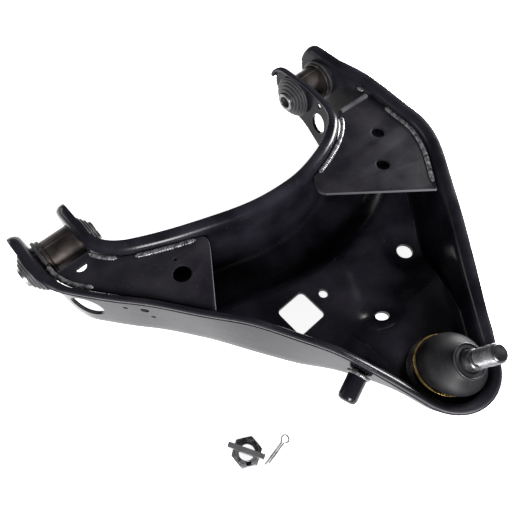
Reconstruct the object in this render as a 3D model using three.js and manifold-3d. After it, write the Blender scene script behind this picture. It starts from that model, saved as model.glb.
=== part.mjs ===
// Stamped steel lower control arm: a channel-section A-arm with two boxing plates, two rubber pivot
// bushes, a pressed-in ball joint, a steering stop, and a loose castle nut with its cotter pin.
// Millimetres, +Z up, open side of the pressing up. +X runs along the pivot axis to the front bush and
// +Y outboard to the ball joint. The plan is laid out from the centre of the square damper opening.
import * as THREE from 'three';
import { mergeVertices } from 'three/addons/utils/BufferGeometryUtils.js';
import Module from 'manifold-3d';

const wasm = await Module();
wasm.setup();

// ---------- sizes ----------
const sheet = 4;                      // pressing thickness
const gap = 0.3;                      // clearance between pieces that touch
const rimZ = 88;                      // top of the rim flange
const wallDraft = 0.02;               // sideways lean of a wall per mm of height
const flangeBend = 7;                 // bend radius of the rim, at mid thickness
const footBend = 8;                   // bend radius at the foot of the walls, at mid thickness
const noseBend = 4;                   // the same, round the ball joint
const padZ = 38;                      // top of the damper pad
const noseFloorZ = rimZ - 28;         // top of the floor round the ball joint

const pivotY = -209.3;                // pivot axis
const pivotZ = rimZ - 29;
const frontBushX = 143.7;
const rearBushX = -219.2;
const earSpread = 46;                 // between the mid planes of a pair of ears
const earStraightY = -190;            // the ears are straight from here to their tips
const ear = {                         // rounded end of a leg, seen along the pivot axis
  cornerY: -225, cornerRadius: 20,    // upper corner, where the rim flange turns down
  turn: 80,                           // degrees of that corner that carry the flange
  lift: 3, liftOver: 0.08,            // the rim rises this much at the ears, over this share of the wall
  tip: 34.7, under: 28.5,             // reach past and below the pivot axis
  rise: 62, riseBend: 30,             // where the lower edge leaves the floor, outboard of the straight part
};

const jointX = -44;                   // ball joint axis
const jointY = 126.5;
const noseRadius = 35;                // nose wall round the ball joint, at mid thickness
const climb = { front: [0.68, 0.97], rear: [0.58, 0.88] };   // shares of a leg over which its floor rises
const flare = { size: 5, from: 0.42, peak: 0.58, to: 0.8 };  // the front wall's foot stands out here
const noseStart = 17;                 // degrees, where the front wall meets the nose
const noseEnd = 139;                  // degrees, where the rear wall leaves it

const overhang = { ear: 9, concave: 11, front: 5, nose: 6, rear: 11 };   // rim flange beyond the wall's face

const squareSide = 34.5;
const squareCorner = 5;
const padBolt = { spacing: 63.2, radius: 4.6 };
const funnel = { x: -57, y: 56.4, radius: 6.1, dish: 24, depth: 7 };
const drain = { x: -137.6, y: 22.2, radius: 8.7, dish: 30, depth: 5 };

const wallHoles = [                   // u: share of the wall's length, z: height of the middle
  { wall: 'front', u: 0.12, z: rimZ - 42, wide: 34, tall: 40 },
  { wall: 'front', u: 0.235, z: rimZ - 28, wide: 5, tall: 5 },
  { wall: 'front', u: 0.285, z: rimZ - 29, wide: 9, tall: 9 },
  { wall: 'front', u: 0.3, z: rimZ - 44, wide: 5, tall: 5 },
  { wall: 'concave', u: 0.94, z: rimZ - 45, wide: 22, tall: 30 },
  { wall: 'concave', u: 0.948, z: rimZ - 19, wide: 8, tall: 8 },
];

const plateTop = rimZ - 8;            // boxing plates
const plateSheet = 3.5;
const plates = {                      // shares of each wall line that a plate runs between, from the bush end
  front: {
    concave: [0.03, 0.295], outer: [0.035, 0.475], corner: 18,
    access: { x: 69.1, y: -94.8, radius: 9.2 }, gauge: { x: 64.6, y: -111.5, radius: 1.6 },
    halfMoon: { x: 136.8, y: -167.5, radius: 6 },
  },
  rear: {
    concave: [0.875, 0.635], outer: [0.86, 0.46], corner: { x: -93, y: -72, round: 9 },
    access: [{ x: -172.5, y: -52.7, radius: 7.5 }, { x: -204.3, y: -87, radius: 7.5 }],
  },
};
const lip = { share: 0.66, radius: 3, drop: 12, rise: 1.2 };   // folded end of the rear plate
const wallSlack = 1.0;                // the walls are flat between sections, so they cut their own corners
const plateGap = 0.5;                 // plate edge to wall, under the weld
const weldSize = 5;
const welds = [                       // along a wall's inner face, between two shares of its length
  { name: 'weld_front_ear_side', wall: 'concave', from: 0.035, to: 0.1 },
  { name: 'weld_front_concave', wall: 'concave', from: 0.14, to: 0.285 },
  { name: 'weld_front_outer', wall: 'front', from: 0, to: 0.16 },
  { name: 'weld_rear_concave', wall: 'concave', from: 0.86, to: 0.655 },
  { name: 'weld_rear_outer', wall: 'rear', from: 0.79, to: 0.485 },
  { name: 'weld_rear_spot', wall: 'rear', from: 0.905, to: 0.88 },
];

const earMid = earSpread / 2;          // the bush's lengths are all taken from the ears' mid planes
const bush = {
  sleeveBore: 7.25, sleeveRadius: 11, sleeveHalf: earMid + 20, shellRadius: 21, shellWall: 2.5,
  shellHalf: earMid + 4, flangeRadius: 25.4, hubRadius: 15, steps: 4, taper: 1.5,
  flangeStart: earMid + 4.6, flangeEnd: earMid + 17,
};
const bushRings = {
  seal: { out: 25, from: earMid - 8.6, to: earMid - 5 },
  band: { out: 23.4, from: earMid - 12.6, to: earMid - 9 },
};

const ball = {
  radius: 16, z: noseFloorZ + 4, neck: 8.5, shoulder: 10.5, thread: 8, length: 74, pinHole: 2, pinFromTip: 8,
};
const lean = { out: 15, rear: 7.5 };  // degrees that the stud lies over, outboard and towards the rear
const housing = {
  radius: 26, bore: 22, mouth: 17.5, bottom: noseFloorZ - 20, top: noseFloorZ + 16, collar: 29.5, collarHeight: 4,
};
const seatGap = 0.4;                  // ball to seat, wide enough for the facets
const boot = {
  wall: 2.4, base: 24.5, bulge: 27, neck: 13, bulgeUp: 0.42, top: 28,
  leanFrom: 0.14, leanTo: 0.88, leanEase: 0.75,   // shares of its height over which it leans with the stud
};

const stop = { radius: 9, length: 27, along: 0.843, z: rimZ - 30, dip: 12 };
const nut = { x: 124.5, y: 57, flats: 25.4, hexHeight: 11, height: 17, crown: 11.6, bore: 8.2, slot: 4.5 };
const pin = { x: 119.6, y: 76.9, wire: 0.9, length: 34, eye: 3.6, turn: 189 };

// ---------- colours ----------
const paint = { color: 0x17161a, roughness: 0.3, metalness: 0.35 };
const platePaint = { color: 0x232126, roughness: 0.42, metalness: 0.35 };
const weldPaint = { color: 0x3a393d, roughness: 0.3, metalness: 0.6 };
const rubber = { color: 0x1b1b1d, roughness: 0.85, metalness: 0 };
const bareSteel = { color: 0x7a7472, roughness: 0.45, metalness: 0.9 };
const darkSteel = { color: 0x2a2a2d, roughness: 0.45, metalness: 0.8 };
const brass = { color: 0xa88a4a, roughness: 0.35, metalness: 0.9 };
const zinc = { color: 0xc4c5c8, roughness: 0.3, metalness: 0.9 };
const nylon = { color: 0xd9d5c8, roughness: 0.6, metalness: 0 };

const group = new THREE.Group();

function addPart(name, geometry, look, place = new THREE.Matrix4()) {
  const mesh = new THREE.Mesh(geometry, new THREE.MeshStandardMaterial(look));
  mesh.name = name;
  place.decompose(mesh.position, mesh.quaternion, mesh.scale);
  group.add(mesh);
  return mesh;
}

// ---------- solids ----------
function toManifold(geometry) {
  const bare = geometry.clone();
  bare.deleteAttribute('normal');
  bare.deleteAttribute('uv');
  const merged = mergeVertices(bare, 1e-4);
  return new wasm.Manifold(new wasm.Mesh({
    numProp: 3,
    vertProperties: new Float32Array(merged.attributes.position.array),
    triVerts: new Uint32Array(merged.index.array),
  }));
}

function toGeometry(solid) {
  const mesh = solid.getMesh();
  const geometry = new THREE.BufferGeometry();
  geometry.setAttribute('position', new THREE.BufferAttribute(mesh.vertProperties, 3));
  geometry.setIndex(new THREE.BufferAttribute(mesh.triVerts, 1));
  geometry.computeVertexNormals();
  return geometry;
}

function cut(geometry, ...tools) {
  return toGeometry(tools.reduce((solid, tool) => solid.subtract(toManifold(tool)), toManifold(geometry)));
}

// Geometry built along local Z, turned to lie along the given direction and moved to its place.
function frameAlong(origin, direction) {
  const turn = new THREE.Quaternion();
  turn.setFromUnitVectors(new THREE.Vector3(0, 0, 1), direction.clone().normalize());
  return new THREE.Matrix4().compose(origin, turn, new THREE.Vector3(1, 1, 1));
}

function cylinder(origin, direction, radius, length, sides = 24) {
  const geometry = new THREE.CylinderGeometry(radius, radius, length, sides);
  geometry.rotateX(Math.PI / 2);
  return geometry.applyMatrix4(frameAlong(origin, direction));
}

// Lathe of [radius, height] pairs about local Z.
function turned(points, sides = 24) {
  const profile = points.map(([radius, height]) => new THREE.Vector2(radius, height));
  const geometry = new THREE.LatheGeometry(profile, sides);
  geometry.rotateX(Math.PI / 2);
  return geometry;
}

// Closed skin over a row of rings of points. Its ends are capped as a fan, or as a strip where a ring
// runs out along one face of a sheet and back along the other, or left for the last ring to meet the first.
function loft(rings, ends = 'fan') {
  const count = rings[0].length;
  const positions = rings.flat().flatMap((point) => [point.x, point.y, point.z]);
  const index = [];
  for (let row = 0; row < rings.length - 1; row += 1) {
    for (let k = 0; k < count; k += 1) {
      const a = row * count + k;
      const b = row * count + ((k + 1) % count);
      index.push(a, b, b + count, a, b + count, a + count);
    }
  }
  const last = (rings.length - 1) * count;
  const cap = (a, b, c) => index.push(a, c, b, last + a, last + b, last + c);
  if (ends === 'strip') {
    for (let k = 0; k < count / 2 - 1; k += 1) {
      cap(k, k + 1, count - 2 - k);
      cap(k, count - 2 - k, count - 1 - k);
    }
  } else if (ends === 'fan') {
    for (let k = 1; k < count - 1; k += 1) cap(0, k, k + 1);
  }
  const geometry = new THREE.BufferGeometry();
  geometry.setAttribute('position', new THREE.Float32BufferAttribute(positions, 3));
  geometry.setIndex(index);
  geometry.computeVertexNormals();
  return geometry;
}

const smooth = (value, low, high) => THREE.MathUtils.smoothstep(value, low, high);
const mix = THREE.MathUtils.lerp;
const plan = (x, y) => new THREE.Vector2(x, y);
const radians = THREE.MathUtils.degToRad;

// ---------- plan of the pressing ----------
const half = earSpread / 2;
const midRim = rimZ - sheet / 2;

// Wall lines at mid thickness, level with the rim, each from the straight part of an ear.
const concaveLine = new THREE.SplineCurve([
  plan(frontBushX - half, earStraightY), plan(117, -174), plan(103, -156), plan(82, -142), plan(38, -122),
  plan(-24, -100), plan(-73, -93), plan(-110, -96), plan(-150, -108), plan(-177, -124), plan(-189.5, -142),
  plan(-194.5, -162), plan(rearBushX + half, earStraightY),
]);

function nosePoint(degrees, radius = noseRadius) {
  return plan(jointX + radius * Math.cos(radians(degrees)), jointY + radius * Math.sin(radians(degrees)));
}

const frontLine = new THREE.SplineCurve([
  plan(frontBushX + half, earStraightY), plan(165.5, -174), plan(159, -155), plan(146, -137), plan(129, -115.5),
  plan(106, -88), plan(79, -50.5), plan(51, -13), plan(29, 27), plan(13, 59), plan(0, 98), nosePoint(noseStart),
]);
const rearLine = new THREE.SplineCurve([
  nosePoint(noseEnd), plan(-122, 88), plan(-164, 41), plan(-196, 3), plan(-226, -34), plan(-240, -63),
  plan(-243.5, -93), plan(-247, -128), plan(-247, -158), plan(rearBushX - half, earStraightY),
]);

const walls = {
  concave: { line: concaveLine, side: -1 },
  front: { line: frontLine, side: 1 },
  rear: { line: rearLine, side: 1 },
};

const rows = { ear: 5, front: 16, nose: 8, rear: 17 };
const concaveSplit = [0.44, 0.56];    // stretch of the concave wall that faces the nose

// Heights of the wall foot, at mid thickness, along the outer wall.
const floorReach = { near: 12, front: 24 };   // distance over which the floor leaves the outer wall's foot
const legFoot = sheet / 2;
const noseFoot = noseFloorZ - sheet / 2;

// One cross-section of the pressing: where its two walls stand, which way they face, and its heights.
function section(inner, innerOut, outer, outerOut, more) {
  return {
    inner, innerOut, outer, outerOut, top: midRim, foot: legFoot, bend: footBend, flare: 0,
    reach: floorReach.near, ...more,
  };
}

function normalOf(curve, u, side) {
  const along = curve.getTangentAt(THREE.MathUtils.clamp(u, 0.002, 0.998));
  return plan(along.y * side, -along.x * side);
}

function earSections(bushX, outward) {
  const radius = ear.cornerRadius;
  const sections = [];
  for (let k = 0; k <= rows.ear; k += 1) {
    const turn = radians(ear.turn * (1 - k / rows.ear));
    const y = ear.cornerY - radius * Math.sin(turn);
    sections.push(section(plan(bushX - outward * half, y), plan(-outward, 0), plan(bushX + outward * half, y),
      plan(outward, 0),
      { top: midRim + ear.lift - radius * (1 - Math.cos(turn)), innerHang: overhang.ear,
        outerHang: overhang.ear }));
  }
  return sections;
}

// A section between the ears: a place on the concave wall paired with one on the outer wall.
function bodySection(zone, u) {
  const [low, high] = concaveSplit;
  const share = { front: u * low, nose: mix(low, high, u), rear: mix(high, 1, u) }[zone];
  const inner = concaveLine.getPointAt(share);
  const innerOut = normalOf(concaveLine, share, -1);
  const nearEar = Math.max(1 - smooth(share, 0, 0.16), smooth(share, 0.8, 0.97));
  const innerHang = mix(overhang.concave, overhang.ear, nearEar);
  const atEnd = Math.max(1 - smooth(share, 0, ear.liftOver), smooth(share, 1 - ear.liftOver, 1));
  const top = midRim + ear.lift * atEnd;
  if (zone === 'nose') {
    const degrees = mix(noseStart, noseEnd, u);
    const out = plan(Math.cos(radians(degrees)), Math.sin(radians(degrees)));
    return section(inner, innerOut, nosePoint(degrees), out,
      { innerHang, outerHang: overhang.nose, foot: noseFoot, bend: noseBend });
  }
  const line = zone === 'front' ? frontLine : rearLine;
  const toNose = zone === 'front' ? u : 1 - u;
  const hang = overhang[zone];
  const outerHang = mix(mix(overhang.ear, hang, smooth(toNose, 0, 0.12)), overhang.nose, smooth(toNose, 0.75, 1));
  const risen = smooth(toNose, ...climb[zone]);
  const foot = mix(legFoot, noseFoot, risen);
  const bend = mix(footBend, noseBend, risen);
  const standOut = flare.size * smooth(u, flare.from, flare.peak) * (1 - smooth(u, flare.peak, flare.to));
  const more = { top, innerHang, outerHang, foot, bend };
  if (zone === 'front') {
    more.flare = standOut;
    more.reach = mix(floorReach.near, floorReach.front, smooth(u, climb.front[0], climb.front[0] + 0.1));
  }
  return section(inner, innerOut, line.getPointAt(u), normalOf(line, u, 1), more);
}

function allSections() {
  const list = earSections(frontBushX, 1);
  for (const zone of ['front', 'nose', 'rear']) {
    const first = zone === 'front' ? 0 : 1;
    for (let k = first; k <= rows[zone]; k += 1) list.push(bodySection(zone, k / rows[zone]));
  }
  return list.concat(earSections(rearBushX, -1).reverse());
}

// ---------- relief of the floor, at mid thickness ----------
const padMid = padZ - sheet / 2;

function reliefAt(x, y, fromConcave) {
  const raised = smooth(fromConcave, 42, 78) * smooth(y, -92, -48);
  let z = mix(legFoot, padMid, raised);
  z += (noseFoot - padMid) * smooth(y, 36, 80) * smooth(fromConcave, 66, 112);
  const dish = (place, foot) => {
    const away = Math.hypot(x - place.x, y - place.y);
    return foot * (1 - smooth(away, place.radius, place.dish));
  };
  z -= dish(funnel, funnel.depth) + dish(drain, drain.depth);
  return z;
}

const floorEdges = { concave: [9, 22], outer: [3, 7, 12] };  // distances of floor columns from the wall feet
const floorColumns = 6;               // evenly spaced columns between those

// Shares of a floor line at which its columns stand, crowded towards the feet of the walls.
function floorShares(length) {
  const squeeze = Math.min(1, length / 60);
  const near = floorEdges.concave.map((distance) => (distance * squeeze) / length);
  const far = floorEdges.outer.map((distance) => 1 - (distance * squeeze) / length).reverse();
  const from = near[near.length - 1];
  const middle = Array.from({ length: floorColumns }, (_, k) => mix(from, far[0], (k + 1) / (floorColumns + 1)));
  return [...near, ...middle, ...far];
}

// Mid-thickness points of one section, from the concave flange edge over both walls to the outer edge.
function sectionPoints(part) {
  const wall = (base, out, hang, foot, bend, standOut) => {
    const points = [];
    const place = (aside, z) => points.push(new THREE.Vector3(base.x + out.x * aside, base.y + out.y * aside, z));
    place(hang, part.top);
    for (let k = 0; k <= 2; k += 1) {
      const turn = (Math.PI / 2) * (k / 2);
      place(flangeBend * (1 - Math.sin(turn)), part.top - flangeBend * (1 - Math.cos(turn)));
    }
    const high = part.top - flangeBend;
    const low = foot + bend;
    const lean = standOut - wallDraft * (high - low);
    place(lean / 2, mix(high, low, 0.5));
    for (let k = 0; k <= 3; k += 1) {
      const turn = (Math.PI / 2) * (k / 3);
      place(lean - bend * (1 - Math.cos(turn)), foot + bend * (1 - Math.sin(turn)));
    }
    return points;
  };
  const concave = wall(part.inner, part.innerOut, part.innerHang, legFoot, footBend, 0);
  const outer = wall(part.outer, part.outerOut, part.outerHang, part.foot, part.bend, part.flare).reverse();
  const from = concave[concave.length - 1];
  const to = outer[0];
  const length = from.distanceTo(to);
  const floor = floorShares(length).map((share) => {
    const point = from.clone().lerp(to, share);
    const fade = smooth(share * length, 0, 30) * smooth((1 - share) * length, 0, part.reach);
    point.z = mix(share < 0.5 ? from.z : to.z, reliefAt(point.x, point.y, share * length + footBend), fade);
    return point;
  });
  return [...concave, ...floor, ...outer];
}

// Thickens a grid of mid-thickness points into a closed sheet.
function sheetFrom(grid, thickness) {
  const high = grid.length;
  const wide = grid[0].length;
  const side = (sign) => grid.map((row, i) => row.map((point, j) => {
    const along = grid[Math.min(i + 1, high - 1)][j].clone().sub(grid[Math.max(i - 1, 0)][j]);
    const across = row[Math.min(j + 1, wide - 1)].clone().sub(row[Math.max(j - 1, 0)]);
    const normal = across.cross(along).normalize();
    return point.clone().addScaledVector(normal, sign * thickness / 2);
  }));
  const upper = side(1);
  const lower = side(-1);
  return loft(upper.map((row, i) => [...row, ...lower[i].slice().reverse()]), 'strip');
}

// ---------- cutters for the pressing ----------
function alongX(shape, fromX, toX) {
  const geometry = new THREE.ExtrudeGeometry(shape, { depth: toX - fromX, bevelEnabled: false, curveSegments: 8 });
  const basis = new THREE.Matrix4().makeBasis(
    new THREE.Vector3(0, 1, 0), new THREE.Vector3(0, 0, 1), new THREE.Vector3(1, 0, 0));
  return geometry.applyMatrix4(basis.setPosition(fromX, 0, 0));
}

// Everything outside the rounded end of a leg, below its lower edge and past its tip.
function earOutlineCutter(bushX) {
  const cornerZ = midRim - ear.cornerRadius;
  const lowest = pivotZ - ear.under;
  const beyond = pivotY - ear.tip - 20;
  const shape = new THREE.Shape();
  shape.moveTo(beyond, -20);
  shape.lineTo(earStraightY + ear.rise, -20);
  shape.lineTo(earStraightY + ear.rise, -2);
  shape.bezierCurveTo(earStraightY + ear.riseBend, -1, earStraightY + 4, lowest, pivotY, lowest);
  shape.absellipse(pivotY, cornerZ, ear.tip, cornerZ - lowest, -Math.PI / 2, -Math.PI, true);
  shape.lineTo(beyond, cornerZ);
  shape.closePath();
  return alongX(shape, bushX - half - 30, bushX + half + 30);
}

function squareShape() {
  const s = squareSide / 2;
  const r = squareCorner;
  const shape = new THREE.Shape();
  shape.moveTo(-s + r, -s);
  shape.lineTo(s - r, -s);
  shape.absarc(s - r, -s + r, r, -Math.PI / 2, 0);
  shape.absarc(s - r, s - r, r, 0, Math.PI / 2);
  shape.absarc(-s + r, s - r, r, Math.PI / 2, Math.PI);
  shape.absarc(-s + r, -s + r, r, Math.PI, Math.PI * 1.5);
  return shape;
}

const up = new THREE.Vector3(0, 0, 1);
const pivotAxis = new THREE.Vector3(1, 0, 0);

function drilled(x, y, radius, sides = 16) {
  return cylinder(new THREE.Vector3(x, y, 30), up, radius, 90, sides);
}

// A hole through a wall, at a share of its length and a height.
function wallCutter({ wall, u, z, wide, tall }) {
  const { line, side } = walls[wall];
  const at = line.getPointAt(u);
  const out = normalOf(line, u, side);
  const geometry = new THREE.CylinderGeometry(1, 1, 24, 20);
  geometry.rotateX(Math.PI / 2);
  geometry.scale(tall / 2, wide / 2, 1);
  return geometry.applyMatrix4(frameAlong(new THREE.Vector3(at.x, at.y, z), new THREE.Vector3(out.x, out.y, 0)));
}

const bushes = [
  { name: 'front', x: frontBushX, outward: 1 },
  { name: 'rear', x: rearBushX, outward: -1 },
];

function armPressing() {
  const blank = sheetFrom(allSections().map(sectionPoints), sheet);
  const square = new THREE.ExtrudeGeometry(squareShape(), { depth: 60, bevelEnabled: false, curveSegments: 3 });
  const cutters = [square];
  for (const sign of [1, -1]) cutters.push(drilled(sign * padBolt.spacing / 2, 0, padBolt.radius, 12));
  cutters.push(drilled(funnel.x, funnel.y, funnel.radius));
  cutters.push(drilled(drain.x, drain.y, drain.radius));
  cutters.push(drilled(jointX, jointY, housing.radius + gap, 32));
  for (const { x } of bushes) {
    cutters.push(earOutlineCutter(x));
    cutters.push(cylinder(new THREE.Vector3(x, pivotY, pivotZ), pivotAxis, bush.shellRadius + gap, 90, 24));
  }
  cutters.push(...wallHoles.map(wallCutter));
  return cut(blank, ...cutters);
}

addPart('arm_pressing', armPressing(), paint);

// ---------- boxing plates ----------
// Plan line of a wall's inner face at a height, with the walls' lean, moved a further distance inward.
function innerFace(line, side, u, z, inward) {
  const at = line.getPointAt(u);
  const out = normalOf(line, u, side);
  const lean = wallDraft * (midRim - flangeBend - z);
  const aside = -(sheet / 2 + lean + wallSlack + inward);
  return plan(at.x + out.x * aside, at.y + out.y * aside);
}

function alongWall(wall, from, to, steps, z, inward) {
  const { line, side } = walls[wall];
  return Array.from({ length: steps + 1 }, (_, k) => innerFace(line, side, mix(from, to, k / steps), z, inward));
}

function plateGeometry(outline, holes) {
  const shape = new THREE.Shape(THREE.ShapeUtils.isClockWise(outline) ? outline.slice().reverse() : outline);
  for (const hole of holes) shape.holes.push(hole);
  const geometry = new THREE.ExtrudeGeometry(shape, { depth: plateSheet, bevelEnabled: false, curveSegments: 10 });
  return geometry.translate(0, 0, plateTop - plateSheet);
}

function roundHole({ x, y, radius }) {
  return new THREE.Path().absarc(x, y, radius, 0, Math.PI * 2, true);
}

// Half-moon with its straight side towards the bush.
function halfMoonHole({ x, y, radius }) {
  return new THREE.Path().absarc(x, y, radius, 0, Math.PI, false).closePath();
}

function frontPlate() {
  const { concave, outer, corner, access, gauge, halfMoon } = plates.front;
  const inner = alongWall('concave', concave[0], concave[1], 9, plateTop, plateGap);
  const far = alongWall('front', outer[1], outer[0], 9, plateTop, plateGap);
  const last = inner[inner.length - 1];
  const onward = last.clone().sub(inner[inner.length - 2]).setLength(corner * 0.6);
  const onEdge = last.clone().add(onward).lerp(far[0], corner / last.distanceTo(far[0]));
  const bend = new THREE.QuadraticBezierCurve(last, last.clone().add(onward), onEdge).getPoints(4);
  const outline = [...inner.slice(0, -1), ...bend, ...far];
  return plateGeometry(outline, [roundHole(access), halfMoonHole(halfMoon), roundHole(gauge)]);
}

// A rounded lip across the leg, shorter than the edge that it folds from.
function plateLip(from, to) {
  const length = from.distanceTo(to) * lip.share;
  const shape = new THREE.Shape();
  shape.moveTo(-lip.radius, -lip.drop);
  shape.lineTo(lip.radius, -lip.drop);
  shape.absarc(0, 0, lip.radius, 0, Math.PI, false);
  const middle = from.clone().lerp(to, 0.5);
  const turn = Math.atan2(to.y - from.y, to.x - from.x);
  return alongX(shape, -length / 2, length / 2).rotateZ(turn)
    .translate(middle.x, middle.y, plateTop + lip.rise - lip.radius);
}

function rearPlate() {
  const { concave, outer, corner, access } = plates.rear;
  const inner = alongWall('concave', concave[0], concave[1], 9, plateTop, plateGap);
  const far = alongWall('rear', outer[1], outer[0], 9, plateTop, plateGap);
  const tip = plan(corner.x, corner.y);
  const toward = (point) => tip.clone().add(point.clone().sub(tip).setLength(corner.round));
  const bend = new THREE.QuadraticBezierCurve(toward(inner[inner.length - 1]), tip, toward(far[0])).getPoints(4);
  const plate = plateGeometry([...inner, ...bend, ...far], access.map(roundHole));
  return toGeometry(toManifold(plate).add(toManifold(plateLip(inner[0], far[far.length - 1]))));
}

addPart('front_boxing_plate', frontPlate(), platePaint);
addPart('rear_boxing_plate', rearPlate(), platePaint);

// ---------- welds ----------
// Bead along a plan line: a rounded section whose size swells and shrinks from ripple to ripple.
function weldBead(points, z, size = weldSize, ripple = 0.14) {
  const curve = new THREE.CatmullRomCurve3(points.map((point) => new THREE.Vector3(point.x, point.y, z)));
  const steps = Math.max(6, Math.round(curve.getLength() / 3.2));
  const rings = [];
  for (let k = 0; k <= steps; k += 1) {
    const at = curve.getPointAt(k / steps);
    const along = curve.getTangentAt(k / steps);
    const aside = new THREE.Vector3(along.y, -along.x, 0).normalize();
    const swell = (k % 2 ? 1 : 1 - ripple) * (k === 0 || k === steps ? 0.7 : 1);
    rings.push(Array.from({ length: 7 }, (_, i) => {
      const turn = Math.PI * (1 - i / 6);
      return at.clone().addScaledVector(aside, Math.cos(turn) * size * 0.5 * swell)
        .setZ(z + Math.sin(turn) * size * 0.5 * swell);
    }));
  }
  return loft(rings);
}

const weldInset = weldSize / 2 + gap;
for (const { name, wall, from, to } of welds) {
  const bead = weldBead(alongWall(wall, from, to, 6, plateTop, weldInset), plateTop + gap);
  addPart(name, bead, weldPaint);
}

// ---------- pivot bushes ----------
function bushPieces({ name, x, outward }) {
  const place = new THREE.Matrix4().makeBasis(
    new THREE.Vector3(0, outward, 0), new THREE.Vector3(0, 0, 1), new THREE.Vector3(outward, 0, 0));
  place.setPosition(x, pivotY, pivotZ);
  const { shellRadius, shellHalf, sleeveRadius, sleeveHalf, flangeStart, flangeEnd } = bush;
  const bore = shellRadius - bush.shellWall;
  const tube = (out, inner, from, to) => [[inner, from], [out, from], [out, to], [inner, to], [inner, from]];
  addPart(`${name}_bush_shell`, turned(tube(shellRadius, bore, -shellHalf, shellHalf)), bareSteel, place);
  addPart(`${name}_bush_sleeve`, turned(tube(sleeveRadius, bush.sleeveBore, -sleeveHalf, sleeveHalf)), bareSteel, place);
  const tier = (flangeEnd - flangeStart) / bush.steps;
  const flange = [];
  for (let k = 0; k < bush.steps; k += 1) {
    const radius = mix(bush.flangeRadius, bush.hubRadius, (k / (bush.steps - 1)) ** bush.taper);
    flange.push([radius, flangeStart + tier * k], [radius, flangeStart + tier * (k + 1)]);
  }
  const mirrored = flange.map(([radius, z]) => [radius, -z]).reverse();
  const rubberBore = sleeveRadius + gap;
  addPart(`${name}_bush_rubber`, turned([
    [rubberBore, -flangeEnd], ...mirrored, [bore - gap, -flangeStart], [bore - gap, flangeStart],
    ...flange, [rubberBore, flangeEnd], [rubberBore, -flangeEnd]]), rubber, place);
  for (const [ring, look] of [['seal', rubber], ['band', bareSteel]]) {
    const { out, from, to } = bushRings[ring];
    addPart(`${name}_bush_${ring}`, turned(tube(out, shellRadius + gap, from, to)), look, place);
  }
}
for (const one of bushes) bushPieces(one);

// ---------- ball joint ----------
const jointAt = (z) => new THREE.Matrix4().makeTranslation(jointX, jointY, z);
const ballCentre = new THREE.Vector3(jointX, jointY, ball.z);
const studAlong = new THREE.Vector3(-Math.tan(radians(lean.rear)), Math.tan(radians(lean.out)), 1).normalize();
const studFrame = frameAlong(ballCentre, studAlong);
const studTilt = studAlong.angleTo(up);
const studTurnAxis = up.clone().cross(studAlong).normalize();

// Arc of a sphere's profile, from one latitude to another, in degrees.
function sphereArc(radius, from, to, steps) {
  return Array.from({ length: steps + 1 }, (_, k) => {
    const turn = radians(mix(from, to, k / steps));
    return [radius * Math.cos(turn), radius * Math.sin(turn)];
  });
}

function jointHousing() {
  const { radius, bore, mouth, bottom, top, collar, collarHeight } = housing;
  const seat = noseFloorZ + gap;
  return turned([
    [bore, bottom], [radius, bottom], [radius, seat], [collar, seat], [collar, seat + collarHeight],
    [radius - 1, seat + collarHeight + 2], [radius - 1, top], [mouth + 1, top], [mouth, top - 1],
    [mouth + 1, top - 5], [bore, top - 6], [bore, bottom]], 32);
}

function seatLiner() {
  const inner = ball.radius + seatGap;
  const outer = housing.bore - gap;
  const arc = sphereArc(inner, 26, -48, 7);
  return turned([[outer, -16], [outer, 5.5], [arc[0][0] + 1, 7.6], ...arc, [arc[7][0], -16], [outer, -16]], 24);
}

function ballStud() {
  const { radius, neck, shoulder, thread, length } = ball;
  const neckLatitude = THREE.MathUtils.radToDeg(Math.acos(neck / radius));
  const solid = turned([
    [0, -radius], ...sphereArc(radius, -70, neckLatitude, 9), [neck, 19], [shoulder, 23], [shoulder, 31],
    [thread + 0.6, 48], [thread - 0.8, 49], [thread - 0.8, 51], [thread, 52], [thread, length - 1.5],
    [thread - 1.5, length], [0, length]], 24);
  return cut(solid, cylinder(new THREE.Vector3(0, 0, length - ball.pinFromTip), pivotAxis, ball.pinHole, 30, 12));
}

function coverPlate() {
  const out = housing.bore - gap;
  const hole = 3.6;
  return turned([[hole, 1], [out, 1], [out, 4], [hole, 4], [hole, 1]], 24);
}

function greaseNipple() {
  return turned([
    [0, -9], [2, -9], [2.6, -7], [1.8, -5.6], [1.8, -4.5], [5, -4], [5, 0.6], [3.3, 0.7], [3.3, 4.2], [0, 4.2],
  ], 12);
}

function circlip() {
  const inner = housing.radius + gap;
  const shape = new THREE.Shape();
  shape.absarc(0, 0, inner + 3, radians(10), radians(350), false);
  shape.absarc(0, 0, inner, radians(350), radians(10), true);
  return new THREE.ExtrudeGeometry(shape, { depth: 2, bevelEnabled: false, curveSegments: 28 });
}

// Boot: rings that turn from level at the base to square with the stud at the neck.
function bootRings(inset) {
  const base = new THREE.Vector3(jointX, jointY, housing.top + gap);
  const neck = new THREE.Vector3(0, 0, housing.top - ball.z + boot.top).applyMatrix4(studFrame);
  const profile = [
    [0, boot.base], [0.13, boot.base], [0.19, boot.base + 1.8], [boot.bulgeUp, boot.bulge], [0.6, boot.bulge - 3],
    [0.76, boot.bulge - 8], [0.84, boot.neck + 2.5], [0.9, boot.neck], [1, boot.neck]];
  return profile.map(([share, radius]) => {
    const leaning = THREE.MathUtils.clamp((share - boot.leanFrom) / (boot.leanTo - boot.leanFrom), 0, 1);
    const aside = share > boot.leanTo ? share : boot.leanTo * leaning ** boot.leanEase;
    const middle = base.clone().lerp(neck, aside).setZ(mix(base.z, neck.z, share));
    return Array.from({ length: 24 }, (_, k) => {
      const turn = (k / 24) * Math.PI * 2;
      return new THREE.Vector3((radius - inset) * Math.cos(turn), (radius - inset) * Math.sin(turn), 0)
        .applyAxisAngle(studTurnAxis, studTilt * leaning).add(middle);
    });
  });
}

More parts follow.
